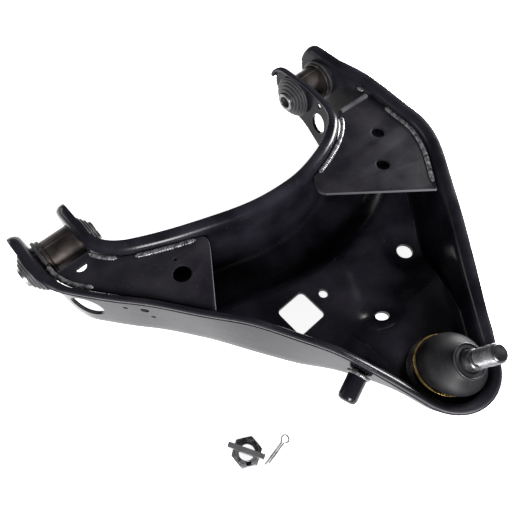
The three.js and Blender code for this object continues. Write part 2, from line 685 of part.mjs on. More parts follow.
function dustBoot() {
  const outside = bootRings(0);
  const inside = bootRings(boot.wall).reverse();
  return loft([...outside, ...inside, outside[0]], 'joined');
}

addPart('ball_joint_housing', jointHousing(), darkSteel, jointAt(0));
addPart('ball_seat_liner', seatLiner(), nylon, jointAt(ball.z));
addPart('ball_joint_cover', coverPlate(), darkSteel, jointAt(housing.bottom));
addPart('grease_nipple', greaseNipple(), zinc, jointAt(housing.bottom));
addPart('ball_joint_circlip', circlip(), darkSteel, jointAt(noseFloorZ - sheet - 2 - gap));
addPart('ball_stud', ballStud(), darkSteel, studFrame);
addPart('dust_boot', dustBoot(), rubber);
const bandRadius = boot.base + 3 * gap;   // the boot leans a little inside its band
addPart('boot_base_ring', turned([[bandRadius, 0], [bandRadius + 2, 0], [bandRadius + 2, 2.6],
  [bandRadius, 2.6], [bandRadius, 0]], 32), brass, jointAt(housing.top + gap));
const topRing = boot.neck + gap;
addPart('boot_top_ring', turned([[topRing, -1.2], [topRing + 1.8, -1.2], [topRing + 1.8, 1.2], [topRing, 1.2],
  [topRing, -1.2]]), darkSteel,
studFrame.clone().multiply(new THREE.Matrix4().makeTranslation(0, 0, housing.top - ball.z + boot.top - 1.2)));

// ---------- steering stop ----------
const stopWall = frontLine.getPointAt(stop.along);
const stopOut = normalOf(frontLine, stop.along, 1);
const stopSkew = new THREE.Vector3(stopOut.x, stopOut.y, -Math.tan(radians(stop.dip))).normalize();
const stopRoot = new THREE.Vector3(stopWall.x, stopWall.y, stop.z).addScaledVector(stopSkew, sheet / 2 + 2.4);
const stopFrame = frameAlong(stopRoot, stopSkew);
addPart('steering_stop', turned([[0, 0], [stop.radius, 0], [stop.radius, stop.length - 4],
  [stop.radius - 1.2, stop.length - 1.2], [stop.radius - 4, stop.length], [0, stop.length]]), paint, stopFrame);
const collarIn = stop.radius + gap;
addPart('weld_steering_stop', turned([[collarIn, 0.4], [collarIn + 2.6, 0.4], [collarIn + 1.6, 3], [collarIn, 3.8],
  [collarIn, 0.4]]), weldPaint, stopFrame);

// ---------- loose fasteners ----------
function castleNut() {
  const { flats, hexHeight, height, crown, bore, slot } = nut;
  const hex = new THREE.CylinderGeometry(flats / Math.sqrt(3), flats / Math.sqrt(3), hexHeight, 6);
  hex.rotateX(Math.PI / 2).translate(0, 0, hexHeight / 2);
  const ring = new THREE.CylinderGeometry(crown, crown, height - hexHeight + 1, 24);
  ring.rotateX(Math.PI / 2).translate(0, 0, (height + hexHeight - 1) / 2);
  let solid = toManifold(hex).add(toManifold(ring));
  solid = solid.subtract(toManifold(cylinder(new THREE.Vector3(0, 0, height / 2), up, bore, height + 4)));
  for (let k = 0; k < 3; k += 1) {
    const groove = new THREE.BoxGeometry(crown * 3, slot, 12);
    groove.translate(0, 0, hexHeight + 6).rotateZ((k * Math.PI) / 3);
    solid = solid.subtract(toManifold(groove));
  }
  return toGeometry(solid);
}

function cotterPin() {
  const { wire, length, eye } = pin;
  const half = wire + gap / 2;
  const points = [
    [0, half], [length * 0.4, half], [length - eye * 2.4, half + 0.1], [length - eye, eye], [length, 0],
    [length - eye, -eye], [length - eye * 2.4, -half - 0.1], [length * 0.4, -half], [3, -half]];
  const path = new THREE.CatmullRomCurve3(points.map(([x, y]) => new THREE.Vector3(x, y, 0)));
  const section = new THREE.Shape().absarc(0, 0, wire, 0, Math.PI * 2, false);
  return new THREE.ExtrudeGeometry(section, { steps: 36, extrudePath: path, curveSegments: 4, bevelEnabled: false });
}

addPart('castle_nut', castleNut(), darkSteel, new THREE.Matrix4().makeTranslation(nut.x, nut.y, 0));
addPart('cotter_pin', cotterPin(), zinc,
  new THREE.Matrix4().makeRotationZ(radians(pin.turn)).setPosition(pin.x, pin.y, pin.wire));

const box = new THREE.Box3().setFromObject(group);
const centre = box.getCenter(new THREE.Vector3());
group.position.set(-centre.x, -centre.y, -box.min.z);
group.updateMatrixWorld(true);

export default group;
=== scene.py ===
import math
import bpy
import bmesh
import numpy as np
from mathutils import Matrix, Vector


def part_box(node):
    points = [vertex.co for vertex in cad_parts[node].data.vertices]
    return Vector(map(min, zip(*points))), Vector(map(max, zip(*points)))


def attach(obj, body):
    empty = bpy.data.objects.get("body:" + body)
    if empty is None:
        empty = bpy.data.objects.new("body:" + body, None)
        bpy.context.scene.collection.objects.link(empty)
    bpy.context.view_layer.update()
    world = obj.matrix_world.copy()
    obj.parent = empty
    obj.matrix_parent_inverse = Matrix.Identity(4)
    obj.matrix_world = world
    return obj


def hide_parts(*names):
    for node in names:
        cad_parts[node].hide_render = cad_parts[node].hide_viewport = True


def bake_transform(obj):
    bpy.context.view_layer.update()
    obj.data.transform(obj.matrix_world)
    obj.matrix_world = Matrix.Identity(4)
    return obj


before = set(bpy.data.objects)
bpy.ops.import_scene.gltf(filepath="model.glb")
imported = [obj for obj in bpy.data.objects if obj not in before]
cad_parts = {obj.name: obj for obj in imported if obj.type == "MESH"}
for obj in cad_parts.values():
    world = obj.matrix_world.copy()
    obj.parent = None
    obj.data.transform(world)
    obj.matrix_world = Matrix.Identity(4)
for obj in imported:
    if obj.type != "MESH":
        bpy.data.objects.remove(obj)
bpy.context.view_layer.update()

mm = 0.001
print("frame loaded:", len(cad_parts), "nodes")


# places read from the frame, in mm
def boxCentre(node):
    low, high = (Vector(corner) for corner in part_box(node))
    return (low + high) / 2 / mm


# middles of the two bushes and their axis, from the centre of the square damper opening
frontX, rearX, pivotY = 143.7, -219.2, -209.3
frontBush = boxCentre("front_bush_sleeve")
planHome = Vector((frontBush.x - frontX, frontBush.y - pivotY, 0))
pivotZ = frontBush.z


def placed(x, y, z):
    return (planHome + Vector((x, y, z))) * mm


# small helpers for shapes
def smooth(value, low, high):
    t = min(1, max(0, (value - low) / (high - low)))
    return t * t * (3 - 2 * t)


def mix(a, b, t):
    return a + (b - a) * t


def spread(start, end, count):
    return [mix(start, end, k / count) for k in range(count + 1)]


def arcPoints(x, y, radius, start, end, steps):
    return [(x + radius * math.cos(math.radians(turn)), y + radius * math.sin(math.radians(turn)))
            for turn in spread(start, end, steps)]


def rounded(points, radius, steps=3, closed=True):
    # softens each corner of a profile, never by more than a third of the shorter side beside it
    out = []
    count = len(points)
    for k, point in enumerate(points):
        here = Vector(point[:2])
        if not closed and k in (0, count - 1):
            out.append((here.x, here.y))
            continue
        before = Vector(points[k - 1][:2]) - here
        after = Vector(points[(k + 1) % count][:2]) - here
        reach = min(radius, before.length / 3, after.length / 3)
        if reach < 0.02 or before.angle(after, 0) > 3.05:
            out.append((here.x, here.y))
            continue
        a, b = here + before.normalized() * reach, here + after.normalized() * reach
        for t in spread(0, 1, steps):
            p = a.lerp(here, t).lerp(here.lerp(b, t), t)
            out.append((p.x, p.y))
    return out


def meshFrom(name, points, faces, sharp=35):
    mesh = bpy.data.meshes.new(name)
    mesh.from_pydata([tuple(p) for p in points], [], faces)
    mesh.validate()
    mesh.shade_smooth()
    mesh.set_sharp_from_angle(angle=math.radians(sharp))
    return mesh


def finalMesh(thing):
    # the mesh left after an object's modifiers
    return bpy.data.meshes.new_from_object(thing.evaluated_get(bpy.context.evaluated_depsgraph_get()))


def addPiece(name, mesh, material, body, nodes=()):
    piece = bpy.data.objects.new(name, mesh)
    bpy.context.scene.collection.objects.link(piece)
    mesh.materials.clear()
    mesh.materials.append(material)
    if body:
        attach(piece, body)
    if nodes:
        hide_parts(*nodes)
    return piece


def faceOutwards(mesh, merge=0.000002):
    work = bmesh.new()
    work.from_mesh(mesh)
    bmesh.ops.remove_doubles(work, verts=work.verts, dist=merge)
    bmesh.ops.recalc_face_normals(work, faces=work.faces)
    work.to_mesh(mesh)
    work.free()
    return mesh


def ringSkin(rings, joined=False, caps=True):
    # closed skin over rings of equal length
    count = len(rings[0])
    points = [p for ring in rings for p in ring]
    faces = []
    rows = len(rings)
    for row in range(rows if joined else rows - 1):
        nextRow = (row + 1) % rows
        for k in range(count):
            a, b = row * count + k, row * count + (k + 1) % count
            faces.append((a, b, nextRow * count + (k + 1) % count, nextRow * count + k))
    if caps and not joined:
        faces.append(tuple(reversed(range(count))))
        faces.append(tuple((rows - 1) * count + k for k in range(count)))
    return points, faces


def turnedMesh(name, profile, place, sides=96, corner=0.4, closed=True, sharp=35):
    # lathe of (radius, height) pairs, in mm, about local Z of a placing matrix
    soft = rounded(profile, corner, closed=closed)
    points, faces = [], []
    count = len(soft)
    for k in range(sides):
        turn = k / sides * math.tau
        for radius, height in soft:
            local = Vector((radius * math.cos(turn), radius * math.sin(turn), height))
            points.append(place @ local * mm)
    for k in range(sides):
        following = (k + 1) % sides
        for i in range(count if closed else count - 1):
            j = (i + 1) % count
            faces.append((k * count + i, following * count + i, following * count + j, k * count + j))
    mesh = meshFrom(name, points, faces, sharp)
    faceOutwards(mesh)
    mesh.shade_smooth()
    mesh.set_sharp_from_angle(angle=math.radians(sharp))
    return mesh


def frameAlong(origin, direction):
    turn = Vector((0, 0, 1)).rotation_difference(Vector(direction).normalized())
    return Matrix.Translation(origin) @ turn.to_matrix().to_4x4()


# materials
def nodeMaterial(name):
    material = bpy.data.materials.new(name)
    material.use_nodes = True
    tree = material.node_tree
    return material, tree, tree.nodes["Principled BSDF"]


def addNode(tree, kind, **values):
    node = tree.nodes.new(kind)
    for key, value in values.items():
        if key in node.inputs:
            node.inputs[key].default_value = value
        else:
            setattr(node, key, value)
    return node


def noiseOn(tree, coords, scale, detail=3, rough=0.55):
    noise = addNode(tree, "ShaderNodeTexNoise")
    noise.inputs["Scale"].default_value = scale
    noise.inputs["Detail"].default_value = detail
    noise.inputs["Roughness"].default_value = rough
    tree.links.new(coords, noise.inputs["Vector"])
    return noise.outputs["Fac"]


def ramp(tree, value, low, high, start, end):
    node = addNode(tree, "ShaderNodeMapRange")
    for key, number in (("From Min", low), ("From Max", high), ("To Min", start), ("To Max", end)):
        node.inputs[key].default_value = number
    tree.links.new(value, node.inputs["Value"])
    return node.outputs["Result"]


def mixColour(tree, factor, a, b):
    node = addNode(tree, "ShaderNodeMix", data_type="RGBA")
    tree.links.new(factor, node.inputs["Factor"])
    for socket, colour in (("A", a), ("B", b)):
        target = [s for s in node.inputs if s.name == socket and s.type == "RGBA"][0]
        if isinstance(colour, (tuple, list)):
            target.default_value = (*colour, 1)
        else:
            tree.links.new(colour, target)
    return [s for s in node.outputs if s.type == "RGBA"][0]


def bumpFrom(tree, heights, shader):
    # heights: (value, depth in mm) from coarse to fine
    before = None
    for value, depth in heights:
        bump = addNode(tree, "ShaderNodeBump")
        bump.inputs["Strength"].default_value = 1
        bump.inputs["Distance"].default_value = depth * mm
        tree.links.new(value, bump.inputs["Height"])
        if before:
            tree.links.new(before, bump.inputs["Normal"])
        before = bump.outputs["Normal"]
    tree.links.new(before, shader.inputs["Normal"])


def finishMaterial(name, look):
    # one recipe for paint, steel and rubber: mottled colour, worn edges, uneven gloss, two sizes of bump
    material, tree, shader = nodeMaterial(name)
    coords = addNode(tree, "ShaderNodeTexCoord").outputs["Object"]
    shader.inputs["Metallic"].default_value = look["metal"]
    shader.inputs["Specular IOR Level"].default_value = look.get("specular", 0.5)
    shader.inputs["IOR"].default_value = look.get("ior", 1.5)
    shader.inputs["Coat Weight"].default_value = look.get("coat", 0)
    shader.inputs["Coat Roughness"].default_value = look.get("coatRough", 0.1)
    cloudy = noiseOn(tree, coords, look.get("cloud", 30), 4)
    fine = noiseOn(tree, coords, look.get("grain", 700), 3)
    flecks = noiseOn(tree, coords, 350, 2, 0.7)
    colour = mixColour(tree, ramp(tree, cloudy, 0.35, 0.65, 0, 1), look["dark"], look["light"])
    dusty = ramp(tree, flecks, 0.68, 0.74, 0, look.get("dust", 0.2))
    colour = mixColour(tree, dusty, colour, (0.16, 0.15, 0.16))
    pointiness = addNode(tree, "ShaderNodeNewGeometry").outputs["Pointiness"]
    edge = ramp(tree, pointiness, 0.53, 0.62, 0, look.get("wear", 0.3))
    colour = mixColour(tree, edge, colour, look.get("wearColour", (0.2, 0.19, 0.2)))
    tree.links.new(colour, shader.inputs["Base Color"])
    low, high = look["rough"]
    tree.links.new(ramp(tree, cloudy, 0.3, 0.7, low, high), shader.inputs["Roughness"])
    bumpFrom(tree, [(cloudy, look.get("wave", 0.1)), (fine, look.get("peel", 0.02))], shader)
    return material


finishes = {
    "glossPaint": {"dark": (0.004, 0.004, 0.006), "light": (0.012, 0.011, 0.015), "metal": 0,
        "rough": (0.16, 0.3), "specular": 0.5, "ior": 1.22, "coat": 0.04, "coatRough": 0.06,
        "cloud": 22, "grain": 420, "wave": 0.35, "peel": 0.015, "dust": 0.12, "wear": 0.25},
    "platePaint": {"dark": (0.007, 0.0065, 0.009), "light": (0.016, 0.015, 0.018), "metal": 0,
        "rough": (0.3, 0.45), "specular": 0.5, "ior": 1.12, "cloud": 26, "grain": 500, "wave": 0.25,
        "peel": 0.02, "dust": 0.2, "wear": 0.5, "wearColour": (0.3, 0.29, 0.31)},
    "weldPaint": {"dark": (0.02, 0.02, 0.024), "light": (0.2, 0.2, 0.21), "metal": 0.4,
        "rough": (0.16, 0.34), "cloud": 220, "grain": 900, "wave": 0.3, "peel": 0.05, "dust": 0.3,
        "wear": 0.5, "wearColour": (0.5, 0.5, 0.52)},
    "bushSteel": {"dark": (0.022, 0.018, 0.017), "light": (0.055, 0.045, 0.041), "metal": 0.75,
        "rough": (0.32, 0.5), "cloud": 60, "grain": 600, "wave": 0.08, "peel": 0.02, "dust": 0.3,
        "wear": 0.4, "wearColour": (0.4, 0.37, 0.35)},
    "sleeveSteel": {"dark": (0.12, 0.115, 0.12), "light": (0.3, 0.29, 0.29), "metal": 0.9,
        "rough": (0.25, 0.4), "cloud": 90, "grain": 900, "wave": 0.05, "peel": 0.02, "wear": 0.4,
        "wearColour": (0.6, 0.6, 0.6)},
    "darkSteel": {"dark": (0.012, 0.012, 0.014), "light": (0.04, 0.039, 0.043), "metal": 0.6,
        "rough": (0.28, 0.42), "cloud": 90, "grain": 900, "wave": 0.06, "peel": 0.03, "wear": 0.5,
        "wearColour": (0.22, 0.22, 0.23)},
    "studSteel": {"dark": (0.03, 0.03, 0.033), "light": (0.09, 0.088, 0.095), "metal": 0.8,
        "rough": (0.26, 0.4), "cloud": 110, "grain": 1200, "wave": 0.04, "peel": 0.02, "wear": 0.4,
        "wearColour": (0.35, 0.35, 0.36)},
    "brassRing": {"dark": (0.16, 0.1, 0.03), "light": (0.42, 0.29, 0.1), "metal": 0.9,
        "rough": (0.22, 0.36), "cloud": 120, "grain": 900, "wave": 0.04, "peel": 0.01, "wear": 0.3,
        "wearColour": (0.7, 0.55, 0.3)},
    "zincPlate": {"dark": (0.32, 0.32, 0.33), "light": (0.6, 0.6, 0.6), "metal": 0.85,
        "rough": (0.22, 0.38), "cloud": 160, "grain": 1100, "wave": 0.04, "peel": 0.02, "wear": 0.2,
        "wearColour": (0.8, 0.8, 0.8)},
    "bushRubber": {"dark": (0.012, 0.012, 0.014), "light": (0.026, 0.026, 0.029), "metal": 0,
        "rough": (0.38, 0.58), "specular": 0.45, "cloud": 70, "grain": 1500, "wave": 0.06, "peel": 0.03,
        "dust": 0.35, "wear": 0.35, "wearColour": (0.09, 0.09, 0.1)},
    "bootRubber": {"dark": (0.005, 0.005, 0.006), "light": (0.011, 0.011, 0.012), "metal": 0,
        "rough": (0.42, 0.6), "specular": 0.5, "ior": 1.25, "cloud": 60, "grain": 1600, "wave": 0.05,
        "peel": 0.03, "dust": 0.25, "wear": 0.2, "wearColour": (0.05, 0.05, 0.055)},
    "nylonLiner": {"dark": (0.55, 0.52, 0.44), "light": (0.72, 0.7, 0.62), "metal": 0,
        "rough": (0.4, 0.55), "cloud": 60, "grain": 1200, "wave": 0.04, "peel": 0.02, "dust": 0.1,
        "wear": 0},
}
materials = {name: finishMaterial(name, look) for name, look in finishes.items()}
print("materials ready:", len(materials))


# plan of the pressing, in mm from the damper opening
pressing = {
    "sheet": 4, "rim": 86, "draft": 0.02, "flangeBend": 7, "footBend": 8, "noseBend": 4,
    "padTop": 38, "noseTop": 60, "padStep": 3.2,
    "earSpread": 46, "earStraight": -190, "cornerY": -225, "cornerRadius": 20, "cornerTurn": 80,
    "earLift": 3, "liftOver": 0.08, "earTip": 34.7, "earUnder": 28.5, "rise": 62, "riseBend": 30,
    "nose": (-44, 126.5, 35), "noseFrom": 17, "noseTo": 139, "edgeRound": 1.3,
    "hang": {"ear": 9, "concave": 11, "front": 5, "nose": 6, "rear": 11},
    "rows": {"ear": 14, "front": 108, "nose": 44, "rear": 116},
    "concaveSplit": (0.44, 0.56), "floorColumns": 46,
    "square": (17.25, 5), "boltHoles": (31.6, 4.6), "joint": 26.3, "bushBore": 21.3,
    "funnel": (-57, 56.4, 6.1, 26, 7.5), "drain": (-137.6, 22.2, 8.7, 34, 6.5),
    # shares of each wall over which its foot climbs, and over which the front wall stands out
    "climb": {"front": (0.68, 0.97), "rear": (0.58, 0.88)}, "flare": (5, 0.42, 0.58, 0.8),
    # distance from the outer wall over which the floor meets its foot, in the legs and at the nose
    "reach": (12, 24),
}
half = pressing["earSpread"] / 2


class PlanLine:
    # smooth line through points, read by share of its length
    def __init__(self, points, side):
        self.points = [Vector(p) for p in points]
        self.side = side
        steps = 1600
        self.samples = [self.raw(k / steps) for k in range(steps + 1)]
        run = [0.0]
        for a, b in zip(self.samples, self.samples[1:]):
            run.append(run[-1] + (b - a).length)
        self.length = run[-1]
        self.shares = np.array(run) / run[-1]
        self.xs = np.array([p.x for p in self.samples])
        self.ys = np.array([p.y for p in self.samples])

    def raw(self, t):
        last = len(self.points) - 1
        place = last * t
        k = min(int(place), last - 1)
        w = place - k
        a, b = self.points[max(k - 1, 0)], self.points[k]
        c, d = self.points[k + 1], self.points[min(k + 2, last)]
        v0, v1 = (c - a) * 0.5, (d - b) * 0.5
        return ((b * 2 - c * 2 + v0 + v1) * w ** 3 + (b * -3 + c * 3 - v0 * 2 - v1) * w ** 2 + v0 * w + b)

    def at(self, share):
        return Vector([float(np.interp(share, self.shares, values)) for values in (self.xs, self.ys)])

    def out(self, share):
        low, high = max(0, share - 0.004), min(1, share + 0.004)
        along = (self.at(high) - self.at(low)).normalized()
        return Vector((along.y, -along.x)) * self.side


def nosePoint(degrees):
    x, y, radius = pressing["nose"]
    turn = math.radians(degrees)
    return (x + radius * math.cos(turn), y + radius * math.sin(turn))


lines = {
    "concave": PlanLine([
        (frontX - half, -190), (117, -174), (103, -156), (82, -142), (38, -122), (-24, -100), (-73, -93),
        (-110, -96), (-150, -108), (-177, -124), (-189.5, -142), (-194.5, -162), (rearX + half, -190)], -1),
    "front": PlanLine([
        (frontX + half, -190), (165.5, -174), (159, -155), (146, -137), (129, -115.5), (106, -88),
        (79, -50.5), (51, -13), (29, 27), (13, 59), (0, 98), nosePoint(pressing["noseFrom"])], 1),
    "rear": PlanLine([
        nosePoint(pressing["noseTo"]), (-122, 88), (-164, 41), (-196, 3), (-226, -34), (-240, -63),
        (-243.5, -93), (-247, -128), (-247, -158), (rearX - half, -190)], 1),
}
legFoot = pressing["sheet"] / 2
noseFoot = pressing["noseTop"] - pressing["sheet"] / 2
padMid = pressing["padTop"] - pressing["sheet"] / 2


def crossSection(inner, innerOut, outer, outerOut, **more):
    base = {"inner": inner, "innerOut": innerOut, "outer": outer, "outerOut": outerOut,
            "top": pressing["rim"], "foot": legFoot, "bend": pressing["footBend"], "flare": 0,
            "reach": pressing["reach"][0]}
    return {**base, **more}


def earSections(bushX, outward):
    sections = []
    radius, count = pressing["cornerRadius"], pressing["rows"]["ear"]
    hang = pressing["hang"]["ear"]
    for k in range(count + 1):
        turn = math.radians(pressing["cornerTurn"] * (1 - k / count))
        y = pressing["cornerY"] - radius * math.sin(turn)
        sections.append(crossSection(
            Vector((bushX - outward * half, y)), Vector((-outward, 0)), Vector((bushX + outward * half, y)),
            Vector((outward, 0)), top=pressing["rim"] + pressing["earLift"] - radius * (1 - math.cos(turn)),
            innerHang=hang, outerHang=hang))
    return sections


def bodySection(zone, u):
    low, high = pressing["concaveSplit"]
    hang = pressing["hang"]
    share = {"front": u * low, "nose": mix(low, high, u), "rear": mix(high, 1, u)}[zone]
    inner, innerOut = lines["concave"].at(share), lines["concave"].out(share)
    nearEar = max(1 - smooth(share, 0, 0.16), smooth(share, 0.8, 0.97))
    innerHang = mix(hang["concave"], hang["ear"], nearEar)
    over = pressing["liftOver"]
    lifted = max(1 - smooth(share, 0, over), smooth(share, 1 - over, 1))
    top = pressing["rim"] + pressing["earLift"] * lifted
    if zone == "nose":
        degrees = mix(pressing["noseFrom"], pressing["noseTo"], u)
        out = Vector((math.cos(math.radians(degrees)), math.sin(math.radians(degrees))))
        return crossSection(inner, innerOut, Vector(nosePoint(degrees)), out, innerHang=innerHang,
                            outerHang=hang["nose"], foot=noseFoot, bend=pressing["noseBend"])
    line = lines[zone]
    toNose = u if zone == "front" else 1 - u
    outerHang = mix(hang["ear"], hang[zone], smooth(toNose, 0, 0.12))
    outerHang = mix(outerHang, hang["nose"], smooth(toNose, 0.75, 1))
    climb = smooth(toNose, *pressing["climb"][zone])
    more = {}
    if zone == "front":
        size, start, peak, end = pressing["flare"]
        more["flare"] = size * smooth(u, start, peak) * (1 - smooth(u, peak, end))
        climbStart = pressing["climb"]["front"][0]
        more["reach"] = mix(*pressing["reach"], smooth(u, climbStart, climbStart + 0.1))
    bend = mix(pressing["footBend"], pressing["noseBend"], climb)
    return crossSection(inner, innerOut, line.at(u), line.out(u), top=top, innerHang=innerHang,
                        outerHang=outerHang, foot=mix(legFoot, noseFoot, climb), bend=bend, **more)


def allSections():
    sections = earSections(frontX, 1)
    for zone in ("front", "nose", "rear"):
        count = pressing["rows"][zone]
        sections += [bodySection(zone, k / count) for k in range(0 if zone == "front" else 1, count + 1)]
    return sections + earSections(rearX, -1)[::-1]


# relief of the floor
padOutline = [(40, -92), (8, -66), (-17, -44), (-36, -35), (-60, -34), (-70, -20), (-58, 6), (-47, 26),
              (-31, 31), (12, 31), (26, 18), (44, -16), (66, -56)]


def insidePad(x, y):
    # signed distance to the pad's outline, positive inside
    best, inside = 1e9, False
    count = len(padOutline)
    for k in range(count):
        ax, ay = padOutline[k]
        bx, by = padOutline[(k + 1) % count]
        dx, dy = bx - ax, by - ay
        t = min(1, max(0, ((x - ax) * dx + (y - ay) * dy) / (dx * dx + dy * dy)))
        best = min(best, math.hypot(x - ax - dx * t, y - ay - dy * t))
        if (ay > y) != (by > y) and x < ax + (y - ay) * dx / dy:
            inside = not inside
    return best if inside else -best


def reliefAt(x, y, fromConcave):
    raised = smooth(fromConcave, 42, 78) * smooth(y, -92, -48)
    z = mix(legFoot, padMid, raised)
    z += (noseFoot - padMid) * smooth(y, 36, 80) * smooth(fromConcave, 66, 112)
    z -= pressing["padStep"] * (1 - smooth(insidePad(x, y), -16, 2)) * raised * (1 - smooth(y, 50, 84))
    for key in ("funnel", "drain"):
        cx, cy, radius, dish, depth = pressing[key]
        z -= depth * (1 - smooth(math.hypot(x - cx, y - cy), radius, dish))
    jx, jy, _ = pressing["nose"]
    z += 1.6 * (1 - smooth(abs(math.hypot(x - jx, y - jy) - 39), 0, 5)) * smooth(y, 74, 92)
    return z


def sectionPoints(part):
    def wall(base, out, hang, foot, bend, flare):
        points = []

        def put(aside, z):
            points.append(Vector((base.x + out.x * aside, base.y + out.y * aside, z)))

        top, flange = part["top"], pressing["flangeBend"]
        for t in (1, 0.86, 0.5, 0.15):
            put(mix(flange, hang, t) if hang > flange else hang + (flange - hang) * (1 - t) * 0.5,
                top - 0.5 * t)
        for k in range(1, 9):
            turn = math.pi / 2 * k / 8
            put(min(flange * (1 - math.sin(turn)), hang + 0.2), top - flange * (1 - math.cos(turn)))
        high, low = top - flange, foot + bend
        lean = flare - pressing["draft"] * (high - low)
        for k in range(1, 7):
            z = mix(high, low, k / 7)
            put(lean * (high - z) / (high - low), z)
        for k in range(8):
            turn = math.pi / 2 * k / 7
            put(lean - bend * (1 - math.cos(turn)), foot + bend * (1 - math.sin(turn)))
        return points

    concave = wall(part["inner"], part["innerOut"], part["innerHang"], legFoot, pressing["footBend"], 0)
    outer = wall(part["outer"], part["outerOut"], part["outerHang"], part["foot"], part["bend"],
                 part["flare"])[::-1]
    start, end = concave[-1], outer[0]
    length = (end - start).length
    count = pressing["floorColumns"]
    floor = []
    for k in range(1, count + 1):
        share = k / (count + 1)
        share = share - 0.045 * math.sin(share * math.tau)
        point = start.lerp(end, share)
        fade = smooth(share * length, 0, 30) * smooth((1 - share) * length, 0, part["reach"])
        relief = reliefAt(point.x, point.y, share * length + pressing["footBend"])
        point.z = mix(start.z if share < 0.5 else end.z, relief, fade)
        floor.append(point)
    return concave + floor + outer


def pressingBlank():
    grid = np.array([[tuple(p) for p in sectionPoints(part)] for part in allSections()])
    rows, columns, _ = grid.shape
    # three light passes even the floor between sections
    inner = slice(19, columns - 19)
    for _ in range(3):
        z = grid[:, inner, 2]
        z[1:-1] = z[1:-1] * 0.5 + (z[:-2] + z[2:]) * 0.25
        grid[:, inner, 2] = z
    along = np.empty_like(grid)
    along[1:-1] = grid[2:] - grid[:-2]
    along[0], along[-1] = grid[1] - grid[0], grid[-1] - grid[-2]
    across = np.empty_like(grid)
    across[:, 1:-1] = grid[:, 2:] - grid[:, :-2]
    across[:, 0], across[:, -1] = grid[:, 1] - grid[:, 0], grid[:, -1] - grid[:, -2]
    normal = np.cross(across, along)
    normal /= np.linalg.norm(normal, axis=2, keepdims=True)
    thick = pressing["sheet"] / 2
    soft = pressing["edgeRound"]
    rings = []
    for i in range(rows):
        upper = grid[i] + normal[i] * thick
        lower = grid[i] - normal[i] * thick

        def cap(j, neighbour):
            point, n = grid[i, j], normal[i, j]
            t = point - grid[i, neighbour]
            t = t / np.linalg.norm(t)
            arc = []
            for sign in (1, -1):
                centre = point + n * sign * (thick - soft) - t * soft
                for turn in ((0, 30, 60, 90) if sign > 0 else (90, 60, 30, 0)):
                    a = math.radians(turn)
                    arc.append(centre + (n * sign * math.cos(a) + t * math.sin(a)) * soft)
            arc.insert(4, point.copy())
            return arc

        ring = list(upper[1:-1]) + cap(-1, -2) + list(lower[1:-1][::-1]) + cap(0, 1)[::-1]
        rings.append([placed(*p) for p in ring])
    count = len(rings[0])
    points, faces = ringSkin(rings, caps=False)
    # the ends are closed by a strip across the sheet
    middle = count - 5
    lastRow = (rows - 1) * count
    for base, flip in ((0, False), (lastRow, True)):
        for k in range(count // 2):
            a, b = (middle + k) % count, (middle + k + 1) % count
            c, d = (middle - k - 1) % count, (middle - k) % count
            face = [base + v for v in (a, b, c, d)]
            face = list(dict.fromkeys(face))
            faces.append(tuple(face if flip else reversed(face)))
    return points, faces


def prismAlong(outline, start, end, place):
    # solid between two heights along local Z of a placing matrix
    count = len(outline)
    points = [place @ Vector((x, y, z)) * mm for z in (start, end) for x, y in outline]
    faces = [tuple(reversed(range(count))), tuple(range(count, 2 * count))]
    faces += [(k, (k + 1) % count, count + (k + 1) % count, count + k) for k in range(count)]
    return points, faces


def homeMatrix(x=0, y=0, z=0):
    return Matrix.Translation(planHome + Vector((x, y, z)))


def circle(x, y, radius, steps=40):
    return [(x + radius * math.cos(k / steps * math.tau), y + radius * math.sin(k / steps * math.tau))
            for k in range(steps)]


def roundedSquare(side, corner):
    inner = side - corner
    out = []
    for k, (x, y) in enumerate(((inner, -inner), (inner, inner), (-inner, inner), (-inner, -inner))):
        out += arcPoints(x, y, corner, 90 * k - 90, 90 * k, 6)
    return out


def earOutline():
    cornerZ = pressing["rim"] - pressing["cornerRadius"]
    lowest = pivotZ - pressing["earUnder"]
    beyond = pivotY - pressing["earTip"] - 20
    straight, rise = pressing["earStraight"], pressing["rise"]
    out = [(beyond, -20), (straight + rise, -20), (straight + rise, -2)]
    a, b = Vector((straight + rise, -2)), Vector((straight + pressing["riseBend"], -1))
    c, d = Vector((straight + 4, lowest)), Vector((pivotY, lowest))
    for t in spread(0, 1, 24)[1:]:
        p = a * (1 - t) ** 3 + b * 3 * t * (1 - t) ** 2 + c * 3 * t * t * (1 - t) + d * t ** 3
        out.append((p.x, p.y))
    for turn in spread(-90, -180, 24)[1:]:
        angle = math.radians(turn)
        out.append((pivotY + pressing["earTip"] * math.cos(angle),
                    cornerZ + (cornerZ - lowest) * math.sin(angle)))
    out.append((beyond, cornerZ))
    return out


wallHoles = [
    {"wall": "front", "share": 0.12, "z": 46, "wide": 34, "tall": 40},
    {"wall": "front", "share": 0.235, "z": 60, "wide": 5, "tall": 5},
    {"wall": "front", "share": 0.285, "z": 59, "wide": 9, "tall": 9},
    {"wall": "front", "share": 0.3, "z": 44, "wide": 5, "tall": 5},
    {"wall": "concave", "share": 0.94, "z": 43, "wide": 22, "tall": 30},
    {"wall": "concave", "share": 0.948, "z": 69, "wide": 8, "tall": 8},
]


def wallFrame(hole):
    line = lines[hole["wall"]]
    at, out = line.at(hole["share"]), line.out(hole["share"])
    z = Vector((out.x, out.y, 0))
    y = Vector((0, 0, 1))
    x = y.cross(z)
    turn = Matrix((x, y, z)).transposed().to_4x4()
    return Matrix.Translation(planHome + Vector((at.x, at.y, hole["z"]))) @ turn


